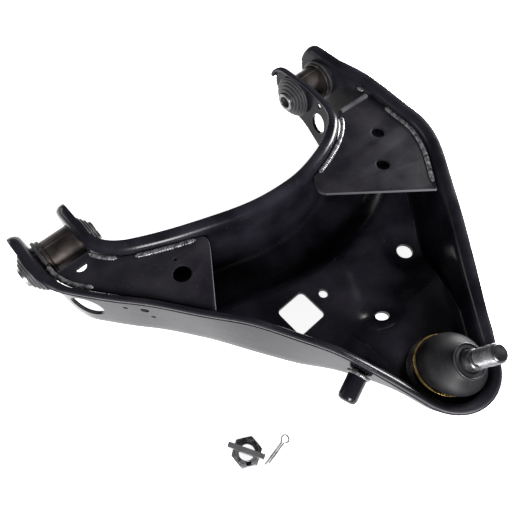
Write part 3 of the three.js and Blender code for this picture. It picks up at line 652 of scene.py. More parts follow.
def joinedCutter():
    parts = [prismAlong(roundedSquare(*pressing["square"]), 0, 60, homeMatrix())]
    spacing, radius = pressing["boltHoles"]
    jx, jy, _ = pressing["nose"]
    rounds = [(spacing, 0, radius), (-spacing, 0, radius), pressing["funnel"][:3], pressing["drain"][:3],
              (jx, jy, pressing["joint"])]
    for x, y, size in rounds:
        parts.append(prismAlong(circle(x, y, size, 64), -15, 75, homeMatrix()))
    alongX = Matrix(((0, 0, 1), (1, 0, 0), (0, 1, 0))).to_4x4()
    for bushX in (frontX, rearX):
        place = Matrix.Translation(planHome + Vector((bushX, 0, 0))) @ alongX
        parts.append(prismAlong(earOutline(), -half - 30, half + 30, place))
        parts.append(prismAlong(circle(pivotY, pivotZ, pressing["bushBore"], 96), -45, 45, place))
    for hole in wallHoles:
        ellipse = [(x * hole["wide"] / 2, y * hole["tall"] / 2) for x, y in circle(0, 0, 1, 40)]
        parts.append(prismAlong(ellipse, -12, 12, wallFrame(hole)))
    points, faces = [], []
    for somePoints, someFaces in parts:
        faces += [tuple(v + len(points) for v in face) for face in someFaces]
        points += somePoints
    return points, faces


def cutMesh(name, blank, cutter, sharp=38):
    work = bpy.data.objects.new(name, meshFrom(name, *blank))
    tool = bpy.data.objects.new(name + "Cutter", meshFrom(name + "Cutter", *cutter))
    for item in (work, tool):
        bpy.context.scene.collection.objects.link(item)
        faceOutwards(item.data)
    modifier = work.modifiers.new("cut", "BOOLEAN")
    modifier.operation = "DIFFERENCE"
    modifier.solver = "MANIFOLD"
    modifier.object = tool
    result = finalMesh(work)
    for item in (work, tool):
        bpy.data.objects.remove(item)
    result.name = name
    result.shade_smooth()
    result.set_sharp_from_angle(angle=math.radians(sharp))
    return result


armMesh = cutMesh("armPressing", pressingBlank(), joinedCutter())
addPiece("armPressing", armMesh, materials["glossPaint"], "arm", ["arm_pressing"])
print("pressing ready:", len(armMesh.polygons), "faces")


# boxing plates
plateLook = {
    "top": 80, "sheet": 3.5, "slack": 1.0, "gap": 0.5, "bevel": 0.7,
    "front": {"concave": (0.03, 0.295), "outer": (0.035, 0.475), "corner": 18,
              "access": (69.1, -94.8, 9.2), "gauge": (64.6, -111.5, 1.6), "halfMoon": (136.8, -167.5, 6)},
    "rear": {"concave": (0.875, 0.635), "outer": (0.86, 0.46), "corner": (-93, -72), "cornerRound": 9,
             "access": [(-172.5, -52.7, 7.5), (-204.3, -87, 7.5)]},
    "lip": {"share": 0.8, "radius": 3.4, "drop": 12, "rise": 3},
}


def innerFace(wall, share, z, inward):
    line = lines[wall]
    lean = pressing["draft"] * (pressing["rim"] - pressing["flangeBend"] - z)
    return line.at(share) - line.out(share) * (pressing["sheet"] / 2 + lean + plateLook["slack"] + inward)


def alongWall(wall, start, end, steps, inward):
    return [innerFace(wall, share, plateLook["top"], inward) for share in spread(start, end, steps)]


def quadBend(a, b, c, steps):
    return [a.lerp(b, t).lerp(b.lerp(c, t), t) for t in spread(0, 1, steps)]


def plateMesh(name, outline, holes):
    # rounded plate with holes, as a filled flat curve with a bevel
    data = bpy.data.curves.new(name, "CURVE")
    data.dimensions = "2D"
    data.fill_mode = "BOTH"
    bevel = plateLook["bevel"]
    data.extrude = (plateLook["sheet"] / 2 - bevel) * mm
    data.bevel_depth = bevel * mm
    data.bevel_resolution = 2
    data.offset = -bevel * mm
    for loop in (outline, *holes):
        spline = data.splines.new("POLY")
        spline.points.add(len(loop) - 1)
        for target, point in zip(spline.points, loop):
            target.co = ((planHome.x + point[0]) * mm, (planHome.y + point[1]) * mm, 0, 1)
        spline.use_cyclic_u = True
    thing = bpy.data.objects.new(name, data)
    bpy.context.scene.collection.objects.link(thing)
    mesh = finalMesh(thing)
    bpy.data.objects.remove(thing)
    mesh.transform(Matrix.Translation((0, 0, (plateLook["top"] - plateLook["sheet"] / 2) * mm)))
    faceOutwards(mesh, 0.00001)
    mesh.name = name
    mesh.shade_smooth()
    mesh.set_sharp_from_angle(angle=math.radians(50))
    return mesh


def frontPlate():
    look = plateLook["front"]
    inner = alongWall("concave", *look["concave"], 30, plateLook["gap"])
    far = alongWall("front", look["outer"][1], look["outer"][0], 30, plateLook["gap"])
    last = inner[-1]
    onward = (last - inner[-2]).normalized() * look["corner"] * 0.6
    onEdge = (last + onward).lerp(far[0], look["corner"] / (far[0] - last).length)
    outline = inner[:-1] + quadBend(last, last + onward, onEdge, 8) + far
    x, y, radius = look["halfMoon"]
    halfMoon = arcPoints(x, y, radius, 0, 180, 20)
    return plateMesh("frontPlate", outline, [circle(*look["access"]), circle(*look["gauge"], 16), halfMoon])


def rearPlateOutline():
    look = plateLook["rear"]
    inner = alongWall("concave", *look["concave"], 30, plateLook["gap"])
    far = alongWall("rear", look["outer"][1], look["outer"][0], 30, plateLook["gap"])
    tip = Vector(look["corner"])
    a = tip + (inner[-1] - tip).normalized() * look["cornerRound"]
    c = tip + (far[0] - tip).normalized() * look["cornerRound"]
    return inner, quadBend(a, tip, c, 8), far


def rearPlate():
    inner, bend, far = rearPlateOutline()
    holes = [circle(*hole) for hole in plateLook["rear"]["access"]]
    return plateMesh("rearPlate", inner + bend + far, holes)


def rearLip():
    inner, _, far = rearPlateOutline()
    start, end = inner[0], far[-1]
    look = plateLook["lip"]
    length = (end - start).length * look["share"]
    middle = start.lerp(end, 0.5)
    turn = math.atan2(end.y - start.y, end.x - start.x)
    radius = look["radius"]
    outline = [(-radius, -look["drop"]), (radius, -look["drop"])] + arcPoints(0, 0, radius, 0, 180, 14)
    height = plateLook["top"] + look["rise"] - radius
    ends = ((-0.5, 0.55), (-0.494, 0.85), (-0.48, 1))
    rings = []
    for t, grow in (*ends, (0, 1), *((-t, grow) for t, grow in reversed(ends))):
        ring = []
        for x, z in outline:
            local = Vector((length * t, x * grow, (z if z < 0 else z * grow)))
            local.rotate(Matrix.Rotation(turn, 3, "Z"))
            ring.append(placed(middle.x + local.x, middle.y + local.y, height + local.z))
        rings.append(ring)
    mesh = meshFrom("rearPlateLip", *ringSkin(rings))
    faceOutwards(mesh)
    return mesh


addPiece("frontPlate", frontPlate(), materials["platePaint"], "arm", ["front_boxing_plate"])
addPiece("rearPlate", rearPlate(), materials["platePaint"], "arm", ["rear_boxing_plate"])
addPiece("rearPlateLip", rearLip(), materials["platePaint"], "arm", ())
print("plates ready")

# weld beads by Geometry Nodes
weldLook = {
    "size": 5.4, "height": 0.62, "pitch": 2.6, "ripple": 0.2, "lump": 0.5, "step": 0.45,
    "beads": [
        ("weldFrontEarSide", "weld_front_ear_side", "concave", 0.035, 0.1),
        ("weldFrontConcave", "weld_front_concave", "concave", 0.14, 0.285),
        ("weldFrontOuter", "weld_front_outer", "front", 0.004, 0.16),
        ("weldRearConcave", "weld_rear_concave", "concave", 0.86, 0.655),
        ("weldRearOuter", "weld_rear_outer", "rear", 0.79, 0.485),
        ("weldRearSpot", "weld_rear_spot", "rear", 0.905, 0.88),
    ],
}


def newTree(name, inputs):
    tree = bpy.data.node_groups.new(name, "GeometryNodeTree")
    tree.interface.new_socket("Geometry", in_out="INPUT", socket_type="NodeSocketGeometry")
    for title, kind, value in inputs:
        socket = tree.interface.new_socket(title, in_out="INPUT", socket_type=kind)
        if value is not None:
            socket.default_value = value
    tree.interface.new_socket("Geometry", in_out="OUTPUT", socket_type="NodeSocketGeometry")
    return tree, tree.nodes.new("NodeGroupInput"), tree.nodes.new("NodeGroupOutput")


def mathNode(tree, operation, a, b=None):
    node = tree.nodes.new("ShaderNodeMath")
    node.operation = operation
    for socket, value in zip(node.inputs, (a, b)):
        if value is None:
            continue
        if isinstance(value, (int, float)):
            socket.default_value = value
        else:
            tree.links.new(value, socket)
    return node.outputs[0]


def paintedResult(tree, geometry, source, result):
    realize = tree.nodes.new("GeometryNodeRealizeInstances")
    tree.links.new(geometry, realize.inputs["Geometry"])
    paint = tree.nodes.new("GeometryNodeSetMaterial")
    tree.links.new(realize.outputs["Geometry"], paint.inputs["Geometry"])
    tree.links.new(source.outputs["Material"], paint.inputs["Material"])
    tree.links.new(paint.outputs["Geometry"], result.inputs["Geometry"])


def beadTree():
    number = "NodeSocketFloat"
    tree, source, result = newTree("weldBead", [
        ("Width", number, 0.005), ("Height", number, 0.6), ("Pitch", number, 0.0026),
        ("Ripple", number, 0.2), ("Lump", number, 0.0005), ("Step", number, 0.0005),
        ("Seed", number, 0.0), ("Material", "NodeSocketMaterial", None)])
    link = tree.links.new
    toCurve = tree.nodes.new("GeometryNodeMeshToCurve")
    link(source.outputs["Geometry"], toCurve.inputs["Mesh"])
    resample = tree.nodes.new("GeometryNodeResampleCurve")
    resample.mode = "LENGTH"
    link(toCurve.outputs["Curve"], resample.inputs["Curve"])
    link(source.outputs["Step"], resample.inputs["Length"])
    run = tree.nodes.new("GeometryNodeSplineParameter")
    length = tree.nodes.new("GeometryNodeSplineLength")
    phase = mathNode(tree, "DIVIDE", run.outputs["Length"], source.outputs["Pitch"])
    saw = mathNode(tree, "FRACT", phase)
    dip = mathNode(tree, "MULTIPLY", mathNode(tree, "POWER", saw, 2), source.outputs["Ripple"])
    swell = mathNode(tree, "SUBTRACT", 1, dip)
    # the bead tapers within one width of each end
    toEnd = mathNode(tree, "MINIMUM", run.outputs["Length"],
                     mathNode(tree, "SUBTRACT", length.outputs["Length"], run.outputs["Length"]))
    taper = mathNode(tree, "DIVIDE", toEnd, mathNode(tree, "MULTIPLY", source.outputs["Width"], 0.6))
    taper = mathNode(tree, "POWER", mathNode(tree, "MINIMUM", mathNode(tree, "ADD", taper, 0.06), 1), 0.5)
    radius = mathNode(tree, "MULTIPLY", mathNode(tree, "MULTIPLY", swell, taper),
                      mathNode(tree, "MULTIPLY", source.outputs["Width"], 0.5))
    circleNode = tree.nodes.new("GeometryNodeCurvePrimitiveCircle")
    circleNode.inputs["Resolution"].default_value = 16
    circleNode.inputs["Radius"].default_value = 1
    squash = tree.nodes.new("GeometryNodeTransform")
    link(circleNode.outputs["Curve"], squash.inputs["Geometry"])
    shape = tree.nodes.new("ShaderNodeCombineXYZ")
    shape.inputs["X"].default_value = 1
    shape.inputs["Z"].default_value = 1
    link(source.outputs["Height"], shape.inputs["Y"])
    link(shape.outputs["Vector"], squash.inputs["Scale"])
    sweep = tree.nodes.new("GeometryNodeCurveToMesh")
    sweep.inputs["Fill Caps"].default_value = True
    link(radius, sweep.inputs["Scale"])
    link(resample.outputs["Curve"], sweep.inputs["Curve"])
    link(squash.outputs["Geometry"], sweep.inputs["Profile Curve"])
    noise = tree.nodes.new("ShaderNodeTexNoise")
    noise.noise_dimensions = "4D"
    noise.inputs["Scale"].default_value = 330
    noise.inputs["Detail"].default_value = 2
    link(source.outputs["Seed"], noise.inputs["W"])
    lump = mathNode(tree, "SUBTRACT", noise.outputs["Fac"], 0.5)
    lump = mathNode(tree, "MULTIPLY", lump, source.outputs["Lump"])
    push = tree.nodes.new("ShaderNodeVectorMath")
    push.operation = "SCALE"
    link(tree.nodes.new("GeometryNodeInputNormal").outputs["Normal"], push.inputs[0])
    link(lump, push.inputs["Scale"])
    move = tree.nodes.new("GeometryNodeSetPosition")
    link(sweep.outputs["Mesh"], move.inputs["Geometry"])
    link(push.outputs["Vector"], move.inputs["Offset"])
    weld = tree.nodes.new("GeometryNodeMergeByDistance")
    weld.inputs["Distance"].default_value = 0.000001
    link(move.outputs["Geometry"], weld.inputs["Geometry"])
    paintedResult(tree, weld.outputs["Geometry"], source, result)
    return tree


def grown(name, path, tree, values, closed=False):
    # runs a tree on a path and keeps its result as a plain mesh
    edges = [(k, k + 1) for k in range(len(path) - 1)] + ([(len(path) - 1, 0)] if closed else [])
    mesh = bpy.data.meshes.new(name)
    mesh.from_pydata([tuple(p) for p in path], edges, [])
    thing = bpy.data.objects.new(name, mesh)
    modifier = thing.modifiers.new("grow", "NODES")
    modifier.node_group = tree
    for item in tree.interface.items_tree:
        if item.item_type == "SOCKET" and item.in_out == "INPUT" and item.name in values:
            modifier[item.identifier] = values[item.name]
    bpy.context.scene.collection.objects.link(thing)
    result = finalMesh(thing)
    bpy.data.objects.remove(thing)
    result.name = name
    faceOutwards(result)
    result.shade_smooth()
    return result


weldTree = beadTree()


def beadValues(seed, size=None):
    return {"Width": (size or weldLook["size"]) * mm, "Height": weldLook["height"],
            "Pitch": weldLook["pitch"] * mm, "Ripple": weldLook["ripple"], "Lump": weldLook["lump"] * mm,
            "Step": weldLook["step"] * mm, "Seed": float(seed), "Material": materials["weldPaint"]}


for seed, (name, node, wall, start, end) in enumerate(weldLook["beads"]):
    inward = weldLook["size"] / 2
    path = [placed(p.x, p.y, plateLook["top"] + 0.3) for p in alongWall(wall, start, end, 40, inward)]
    bead = grown(name, path, weldTree, beadValues(seed))
    addPiece(name, bead, materials["weldPaint"], "arm", [node])
print("welds ready")

# pivot bushes
bushLook = {
    "sleeveBore": 7.25, "sleeve": 11, "sleeveHalf": 43, "shell": 21, "shellWall": 2.5, "shellHalf": 27,
    "flange": 25.4, "hub": 15, "tiers": 5, "taper": 1.5, "flangeStart": 27.6, "flangeEnd": 40, "gap": 0.3,
    "seal": (25, 14.4, 18), "band": (23.4, 10.4, 14),
}


def tube(out, inner, start, end):
    return [(inner, start), (out, start), (out, end), (inner, end)]


def bushPieces(side, bushX, outward):
    look = bushLook
    turn = Matrix(((0, 0, outward), (outward, 0, 0), (0, 1, 0))).to_4x4()
    place = Matrix.Translation(planHome + Vector((bushX, pivotY, pivotZ))) @ turn
    bore = look["shell"] - look["shellWall"]
    shellTube = tube(look["shell"], bore, -look["shellHalf"], look["shellHalf"])
    shell = turnedMesh(side + "BushShell", shellTube, place)
    addPiece(side + "BushShell", shell, materials["bushSteel"], "arm", [f"{side}_bush_shell"])
    sleeveTube = tube(look["sleeve"], look["sleeveBore"], -look["sleeveHalf"], look["sleeveHalf"])
    sleeve = turnedMesh(side + "BushSleeve", sleeveTube, place, corner=0.9)
    addPiece(side + "BushSleeve", sleeve, materials["sleeveSteel"], f"{side}_sleeve",
             [f"{side}_bush_sleeve"])
    tiers = look["tiers"]
    rise = (look["flangeEnd"] - look["flangeStart"]) / tiers
    flange = []
    for k in range(tiers):
        radius = mix(look["flange"], look["hub"], (k / (tiers - 1)) ** look["taper"])
        bottom = look["flangeStart"] + rise * k
        # each tier is a rounded bead with a narrow groove above it
        flange += [(radius - 0.5, bottom + 0.1), (radius, bottom + 0.5), (radius, bottom + rise - 0.9),
                   (radius - 1.1, bottom + rise - 0.1)]
    mirrored = [(radius, -z) for radius, z in reversed(flange)]
    rubberBore = look["sleeve"] + look["gap"]
    profile = ([(rubberBore, -look["flangeEnd"])] + mirrored + [(bore - 0.3, -look["flangeStart"]),
               (bore - 0.3, look["flangeStart"])] + flange + [(rubberBore, look["flangeEnd"])])
    rubber = turnedMesh(side + "BushRubber", profile, place, corner=0.7)
    addPiece(side + "BushRubber", rubber, materials["bushRubber"], "arm", [f"{side}_bush_rubber"])
    for ring, material, slot in (("seal", "bushRubber", "rubber"), ("band", "bushSteel", "sleeve_steel")):
        out, start, end = look[ring]
        name = side + "Bush" + ring.capitalize()
        mesh = turnedMesh(name, tube(out, look["shell"] + look["gap"], start, end), place, corner=0.8)
        addPiece(name, mesh, materials[material], "arm", [f"{side}_bush_{ring}"])


bushPieces("front", frontX, 1)
bushPieces("rear", rearX, -1)
print("bushes ready")

# ball joint
jointX, jointY, _ = pressing["nose"]
ball = {
    "radius": 16, "z": 64, "neck": 8.5, "shoulder": 10.5, "thread": 8, "length": 74,
    "pinHole": 2, "pinFromTip": 8, "outLean": 15, "rearLean": 7.5,
    "threadPitch": 1.5, "threadFrom": 52.5, "threadTo": 72,
}
housing = {
    "radius": 26, "bore": 22, "mouth": 17.5, "bottom": 40, "top": 76, "collar": 29.5, "collarHeight": 4,
}
rearward, outward = (math.tan(math.radians(ball[lean])) for lean in ("rearLean", "outLean"))
studAlong = Vector((-rearward, outward, 1)).normalized()
ballCentre = planHome + Vector((jointX, jointY, ball["z"]))
studPlace = frameAlong(ballCentre, studAlong)


def jointPlace(z):
    return Matrix.Translation(planHome + Vector((jointX, jointY, z)))


def housingProfile():
    h = housing
    seat = pressing["noseTop"] + 0.3
    return [(h["bore"], h["bottom"]), (h["radius"], h["bottom"]), (h["radius"], seat), (h["collar"], seat),
            (h["collar"], seat + h["collarHeight"]), (h["radius"] - 1, seat + h["collarHeight"] + 2),
            (h["radius"] - 1, h["top"] - 6), (h["radius"] - 2, h["top"] - 5.4),
            (h["radius"] - 2, h["top"] - 3.2), (h["radius"] - 1, h["top"] - 2.6),
            (h["radius"] - 1, h["top"]), (h["mouth"] + 1, h["top"]),
            (h["mouth"], h["top"] - 1), (h["mouth"] + 1, h["top"] - 5), (h["bore"], h["top"] - 6)]


def linerProfile():
    outer = housing["bore"] - 0.3
    arc = arcPoints(0, 0, ball["radius"] + 0.4, 26, -48, 14)
    return [(outer, -16), (outer, 5.5), (arc[0][0] + 1, 7.6)] + arc + [(arc[-1][0], -16)]


def studProfile():
    b = ball
    neckLatitude = math.degrees(math.acos(b["neck"] / b["radius"]))
    core = b["thread"] - 0.55
    return ([(0, -b["radius"])] + arcPoints(0, 0, b["radius"], -84, neckLatitude, 26) +
            [(b["neck"], 19), (b["shoulder"], 23), (b["shoulder"], 31), (b["thread"] + 0.6, 48),
             (b["thread"] - 0.8, 49), (b["thread"] - 0.8, 51), (core, 52), (core, b["length"] - 1.4),
             (b["thread"] - 1.8, b["length"]), (0, b["length"])])


coverOut = housing["bore"] - 0.3
coverProfile = [(3.6, 1), (9, 1), (11, 0.4), (coverOut, 0.6), (coverOut, 4), (3.6, 4)]
nippleProfile = [(0, -9), (1.5, -9), (2.1, -8.2), (2.6, -7), (2.3, -6.4), (1.7, -5.7), (1.7, -4.6),
                 (5, -4), (5, 0.6), (3.3, 0.7), (3.3, 4.2), (0, 4.2)]
bottom = housing["bottom"]
for name, profile, z, sides, corner, material, node, slot in (
        ("ballHousing", housingProfile(), 0, 96, 0.8, "darkSteel", "ball_joint_housing", "dark_steel"),
        ("ballLiner", linerProfile(), ball["z"], 96, 0.3, "nylonLiner", "ball_seat_liner", "nylon"),
        ("ballCover", coverProfile, bottom, 96, 0.5, "darkSteel", "ball_joint_cover", "dark_steel"),
        ("greaseNipple", nippleProfile, bottom, 48, 0.3, "zincPlate", "grease_nipple", "zinc")):
    mesh = turnedMesh(name, profile, jointPlace(z), sides, corner)
    addPiece(name, mesh, materials[material], "arm", [node])


def circlipMesh():
    inner = housing["radius"] + 0.3
    outer = inner + 3
    outline = arcPoints(0, 0, outer, 10, 350, 90) + arcPoints(0, 0, inner, 350, 10, 90)
    z = pressing["noseTop"] - pressing["sheet"] - 2.3
    points, faces = prismAlong(outline, z, z + 2, jointPlace(0))
    return faceOutwards(meshFrom("ballCirclip", points, faces))


addPiece("ballCirclip", circlipMesh(), materials["darkSteel"], "arm", ["ball_joint_circlip"])
studMesh = turnedMesh("ballStud", studProfile(), studPlace, corner=0.5, closed=False)


def crossHole(mesh):
    points = [tuple(v.co) for v in mesh.vertices]
    faces = [tuple(p.vertices) for p in mesh.polygons]
    alongX = Matrix(((0, 0, 1), (1, 0, 0), (0, 1, 0))).to_4x4()
    place = studPlace @ Matrix.Translation((0, 0, ball["length"] - ball["pinFromTip"])) @ alongX
    drill = prismAlong(circle(0, 0, ball["pinHole"], 24), -15, 15, place)
    return cutMesh("ballStud", (points, faces), drill)


addPiece("ballStud", crossHole(studMesh), materials["studSteel"], "stud", ["ball_stud"])


def threadTree():
    number = "NodeSocketFloat"
    tree, source, result = newTree("screwThread", [
        ("Radius", number, 0.0076), ("Pitch", number, 0.0015), ("Length", number, 0.015),
        ("Ridge", number, 0.0005), ("Material", "NodeSocketMaterial", None)])
    link = tree.links.new
    spiral = tree.nodes.new("GeometryNodeCurveSpiral")
    spiral.inputs["Resolution"].default_value = 40
    link(source.outputs["Radius"], spiral.inputs["Start Radius"])
    link(source.outputs["Radius"], spiral.inputs["End Radius"])
    link(source.outputs["Length"], spiral.inputs["Height"])
    turns = mathNode(tree, "DIVIDE", source.outputs["Length"], source.outputs["Pitch"])
    link(turns, spiral.inputs["Rotations"])
    shape = tree.nodes.new("GeometryNodeCurvePrimitiveCircle")
    shape.inputs["Resolution"].default_value = 4
    link(source.outputs["Ridge"], shape.inputs["Radius"])
    sweep = tree.nodes.new("GeometryNodeCurveToMesh")
    sweep.inputs["Fill Caps"].default_value = True
    link(spiral.outputs["Curve"], sweep.inputs["Curve"])
    link(shape.outputs["Curve"], sweep.inputs["Profile Curve"])
    paintedResult(tree, sweep.outputs["Mesh"], source, result)
    return tree


helixTree = threadTree()


def threadMesh(name, radius, pitch, length, ridge, material, place):
    # the tree starts its own spiral, so the path is only a stand-in
    mesh = grown(name, [(0, 0, 0), (0, 0, 0.001)], helixTree, {
        "Radius": radius * mm, "Pitch": pitch * mm, "Length": length * mm, "Ridge": ridge * mm,
        "Material": material})
    shift = place.copy()
    shift.translation = place.translation * mm
    mesh.transform(shift)
    return mesh


threadLength = ball["threadTo"] - ball["threadFrom"]
studThread = threadMesh("studThread", ball["thread"] - 0.6, ball["threadPitch"], threadLength, 0.6,
                        materials["studSteel"], studPlace @ Matrix.Translation((0, 0, ball["threadFrom"])))
addPiece("studThread", studThread, materials["studSteel"], "stud", ())

# dust boot and its rings
boot = {
    "wall": 2.4, "base": 24.5, "neck": 13, "top": 28, "sides": 96,
    "leanFrom": 0.14, "leanTo": 0.88, "ease": 0.75,
    # share of the height and radius
    "profile": [(0, 24.3), (0.04, 24.5), (0.13, 24.5), (0.155, 25.2), (0.19, 26.1), (0.26, 26.7),
                (0.34, 27), (0.42, 26.9), (0.5, 26.2), (0.58, 24.7), (0.65, 22.9), (0.71, 20.7),
                (0.77, 18.2), (0.81, 16.4), (0.845, 15.2), (0.875, 14.5), (0.89, 13.2), (0.92, 13),
                (0.98, 13), (1, 12.8)],
}


def bootRings(inset):
    base = Vector((jointX, jointY, housing["top"] + 0.3))
    neck = Vector((jointX, jointY, ball["z"])) + studAlong * (housing["top"] - ball["z"] + boot["top"])
    axis = Vector((0, 0, 1)).cross(studAlong).normalized()
    tilt = Vector((0, 0, 1)).angle(studAlong)
    rings = []
    for share, radius in boot["profile"]:
        leaning = min(1, max(0, (share - boot["leanFrom"]) / (boot["leanTo"] - boot["leanFrom"])))
        aside = share if share > boot["leanTo"] else boot["leanTo"] * leaning ** boot["ease"]
        middle = base.lerp(neck, aside)
        middle.z = mix(base.z, neck.z, share)
        turn = Matrix.Rotation(tilt * leaning, 3, axis)
        ring = []
        for k in range(boot["sides"]):
            a = k / boot["sides"] * math.tau
            local = turn @ Vector(((radius - inset) * math.cos(a), (radius - inset) * math.sin(a), 0))
            ring.append(placed(*(middle + local)))
        rings.append(ring)
    return rings, base, neck


outside, bootBase, bootNeck = bootRings(0)
inside, _, _ = bootRings(boot["wall"])
bootMesh = meshFrom("dustBoot", *ringSkin(outside + inside[::-1], joined=True), sharp=60)
faceOutwards(bootMesh)
bootPiece = addPiece("dustBoot", bootMesh, materials["bootRubber"], None)
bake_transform(bootPiece)
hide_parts("dust_boot")
bandRadius = boot["base"] + 0.9
baseRing = turnedMesh("bootBaseRing", tube(bandRadius + 2, bandRadius, 0, 2.6),
                      jointPlace(housing["top"] + 0.3), corner=0.9)
addPiece("bootBaseRing", baseRing, materials["brassRing"], "arm", ["boot_base_ring"])
topRadius = boot["neck"] + 0.3
topPlace = studPlace @ Matrix.Translation((0, 0, housing["top"] - ball["z"] + boot["top"] - 1.2))
topRing = turnedMesh("bootTopRing", tube(topRadius + 1.8, topRadius, -1.2, 1.2), topPlace, corner=0.8)
addPiece("bootTopRing", topRing, materials["darkSteel"], "stud_swing", ["boot_top_ring"])
print("ball joint ready")

# steering stop
stop = {"radius": 9, "length": 27, "share": 0.843, "z": 58, "dip": 12, "bead": 3.4}
stopWall, stopOut = lines["front"].at(stop["share"]), lines["front"].out(stop["share"])
stopAlong = Vector((stopOut.x, stopOut.y, -math.tan(math.radians(stop["dip"])))).normalized()
stopRoot = planHome + Vector((stopWall.x, stopWall.y, stop["z"])) + stopAlong * 4.4
stopPlace = frameAlong(stopRoot, stopAlong)
stopProfile = [(0, 0), (stop["radius"], 0), (stop["radius"], stop["length"] - 4),
               (stop["radius"] - 1.2, stop["length"] - 1.2), (stop["radius"] - 4, stop["length"]),
               (0, stop["length"])]
addPiece("steeringStop", turnedMesh("steeringStop", stopProfile, stopPlace, 64, 0.8, closed=False),
         materials["glossPaint"], "arm", ["steering_stop"])
collar = [stopPlace @ Vector((x, y, 1.4)) * mm for x, y in circle(0, 0, stop["radius"] + 1.2, 48)]
collarTurn = collar + [collar[0].lerp(collar[1], 0.4)]
addPiece("weldSteeringStop", grown("weldSteeringStop", collarTurn, weldTree, beadValues(9, stop["bead"])),
         materials["weldPaint"], "arm", ["weld_steering_stop"])

# loose castle nut
nut = {"x": 124.5, "y": 57, "flats": 25.4, "hex": 11, "height": 17, "crown": 11.6, "bore": 8.2, "slot": 4.5}


def nutMesh():
    corner = nut["flats"] / math.sqrt(3)
    hexagon = [(corner * math.sin(k / 6 * math.tau), corner * math.cos(k / 6 * math.tau)) for k in range(6)]
    place = homeMatrix(nut["x"], nut["y"], 0)
    body = meshFrom("nutHex", *prismAlong(hexagon, 0, nut["hex"], place))
    # corner chamfers come from a turned envelope
    envelope = turnedMesh("nutEnvelope", [
        (0, 0), (corner - 1.6, 0), (corner + 0.4, 1.3), (corner + 0.4, nut["hex"] - 1.3),
        (corner - 2.2, nut["hex"]), (0, nut["hex"])], place, 96, 0.1, closed=False)
    crown = turnedMesh("nutCrown", [
        (0, nut["hex"] - 1), (nut["crown"], nut["hex"] - 1), (nut["crown"], nut["height"] - 0.8),
        (nut["crown"] - 0.8, nut["height"]), (0, nut["height"])], place, 96, 0.3, closed=False)
    tools = [prismAlong(circle(0, 0, nut["bore"], 64), -2, nut["height"] + 2, place)]
    solids = []
    for mesh in (body, envelope, crown):
        thing = bpy.data.objects.new(mesh.name, mesh)
        bpy.context.scene.collection.objects.link(thing)
        faceOutwards(mesh)
        solids.append(thing)
    base = solids[0]
    for operation, other in (("INTERSECT", solids[1]), ("UNION", solids[2])):
        modifier = base.modifiers.new(operation.lower(), "BOOLEAN")
        modifier.operation = operation
        modifier.solver = "EXACT"
        modifier.object = other
    for k in range(3):
        turn = Matrix.Rotation(k * math.pi / 3, 4, "Z")
        w, r = nut["slot"] / 2, nut["crown"] * 1.5
        slotShape = rounded([(-r, -w), (r, -w), (r, w), (-r, w)], 0.1)
        tools.append(prismAlong(slotShape, nut["hex"] + 0.2, nut["height"] + 6, place @ turn))
    extra = []
    for k, (points, faces) in enumerate(tools):
        thing = bpy.data.objects.new(f"nutTool{k}", meshFrom(f"nutTool{k}", points, faces))
        bpy.context.scene.collection.objects.link(thing)
        faceOutwards(thing.data)
        modifier = base.modifiers.new(f"tool{k}", "BOOLEAN")
        modifier.operation = "DIFFERENCE"
        modifier.solver = "EXACT"
        modifier.object = thing
        extra.append(thing)
    bevel = base.modifiers.new("edges", "BEVEL")
    bevel.width = 0.3 * mm
    bevel.segments = 2
    bevel.limit_method = "ANGLE"
    bevel.angle_limit = math.radians(40)
    result = finalMesh(base)
    for thing in solids + extra:
        bpy.data.objects.remove(thing)
    result.name = "castleNut"
    result.shade_smooth()
    result.set_sharp_from_angle(angle=math.radians(35))
    return result


addPiece("castleNut", nutMesh(), materials["darkSteel"], "loose_nut", ["castle_nut"])
nutThread = threadMesh("nutThread", nut["bore"] - 0.05, 1.5, 13, 0.5, materials["darkSteel"],
                       homeMatrix(nut["x"], nut["y"], 1.2))
addPiece("nutThread", nutThread, materials["darkSteel"], "loose_nut", ())

# loose cotter pin: one half-round wire folded on itself
pin = {"x": 119.6, "y": 76.9, "wire": 0.9, "length": 34, "eye": 3.6, "turn": 189}


def pinMesh():
    length, eye = pin["length"], pin["eye"]
    w = pin["wire"] + 0.15
    guide = [(0, w), (length * 0.25, w), (length * 0.5, w), (length - eye * 2.4, w + 0.1),
             (length - eye * 1.7, eye * 0.72), (length - eye * 1.05, eye), (length - eye * 0.3, eye * 0.72),
             (length, 0)]
    guide += [(x, -y) for x, y in reversed(guide[:-1])]
    guide[-1] = (3, -w)
    line = PlanLine(guide, 1)
    rings = []
    steps = 150
    place = homeMatrix(pin["x"], pin["y"], pin["wire"]) @ Matrix.Rotation(math.radians(pin["turn"]), 4, "Z")
    for k in range(steps + 1):
        share = k / steps
        at, out = line.at(share), line.out(share)
        grow = min(1, 0.55 + 0.45 * min(share, 1 - share) * steps / 2)
        ring = []
        for i in range(14):
            a = i / 14 * math.tau
            side, up = math.cos(a) * pin["wire"] * grow, math.sin(a) * pin["wire"] * grow
            ring.append(place @ Vector((at.x + out.x * side, at.y + out.y * side, up)) * mm)
        rings.append(ring)
    return faceOutwards(meshFrom("cotterPin", *ringSkin(rings)))


addPiece("cotterPin", pinMesh(), materials["zincPlate"], "loose_pin", ["cotter_pin"])
print("fasteners ready")

# camera and light
camera = {
    "lens": 32.7,
    "place": (146.3, 108.2, 472.1),       # from the damper opening, in mm
    "azimuth": 140.1,
    "elevation": 60.63,
    "roll": -2.4,
}


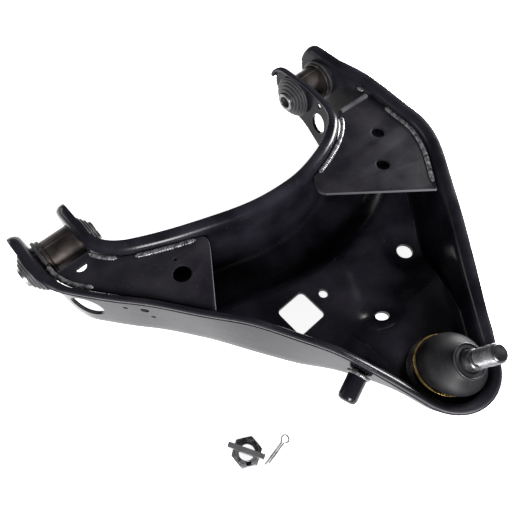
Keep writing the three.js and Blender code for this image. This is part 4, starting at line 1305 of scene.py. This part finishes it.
def addCamera():
    azimuth, elevation, roll = (math.radians(camera[key]) for key in ("azimuth", "elevation", "roll"))
    back = Vector((math.sin(azimuth) * math.cos(elevation), -math.cos(azimuth) * math.cos(elevation),
                   math.sin(elevation)))
    side = Vector((math.cos(azimuth), math.sin(azimuth), 0))
    up = back.cross(side)
    turn = Matrix.Rotation(roll, 3, back)
    axes = Matrix((turn @ side, turn @ up, back)).transposed()
    data = bpy.data.cameras.new("camera")
    data.lens = camera["lens"]
    data.clip_start = 0.01
    data.clip_end = 20
    eye = bpy.data.objects.new("camera", data)
    eye.matrix_world = Matrix.Translation((planHome + Vector(camera["place"])) * mm) @ axes.to_4x4()
    bpy.context.scene.collection.objects.link(eye)
    bpy.context.scene.camera = eye
    return eye


studio = {
    "room": 0.16,                         # brightness of the surroundings
    "floor": 0.86,
    "floorGlow": 0.9,
    "softboxes": [                        # place and aim in mm from the part's middle, size in mm, watts
        ((-820, 60, 300), (0, 0, 30), (420, 260), 20),
        ((520, -860, 300), (0, 0, 30), (560, 200), 2),
        ((560, 760, 560), (0, 0, 30), (380, 380), 26),
    ],
}


def addStudio():
    world = bpy.data.worlds.new("studio")
    world.use_nodes = True
    ground = world.node_tree.nodes["Background"]
    ground.inputs["Color"].default_value = (0.97, 0.95, 1, 1)
    ground.inputs["Strength"].default_value = studio["room"]
    bpy.context.scene.world = world
    for k, (place, aim, size, watts) in enumerate(studio["softboxes"]):
        data = bpy.data.lights.new(f"softbox{k}", "AREA")
        data.shape = "RECTANGLE"
        data.size, data.size_y = (side * mm for side in size)
        data.energy = watts
        lamp = bpy.data.objects.new(f"softbox{k}", data)
        at, to = Vector(place) * mm, Vector(aim) * mm
        lamp.location = at
        lamp.rotation_euler = (to - at).to_track_quat("-Z", "Y").to_euler()
        bpy.context.scene.collection.objects.link(lamp)
    reach = 4.0
    mesh = bpy.data.meshes.new("floor")
    corners = [(-reach, -reach, 0), (reach, -reach, 0), (reach, reach, 0), (-reach, reach, 0)]
    mesh.from_pydata(corners, [], [(0, 1, 2, 3)])
    floor = bpy.data.objects.new("floor", mesh)
    floor.location.z = -0.0005
    bpy.context.scene.collection.objects.link(floor)
    material, tree, shader = nodeMaterial("palePaper")
    shade = studio["floor"]
    shader.inputs["Base Color"].default_value = (shade, shade, shade, 1)
    shader.inputs["Roughness"].default_value = 0.9
    shader.inputs["Specular IOR Level"].default_value = 0.1
    shader.inputs["Emission Color"].default_value = (1, 1, 1, 1)
    shader.inputs["Emission Strength"].default_value = studio["floorGlow"]
    mesh.materials.append(material)


addCamera()
addStudio()
bpy.context.scene.view_settings.view_transform = "Standard"
print("camera and studio ready")
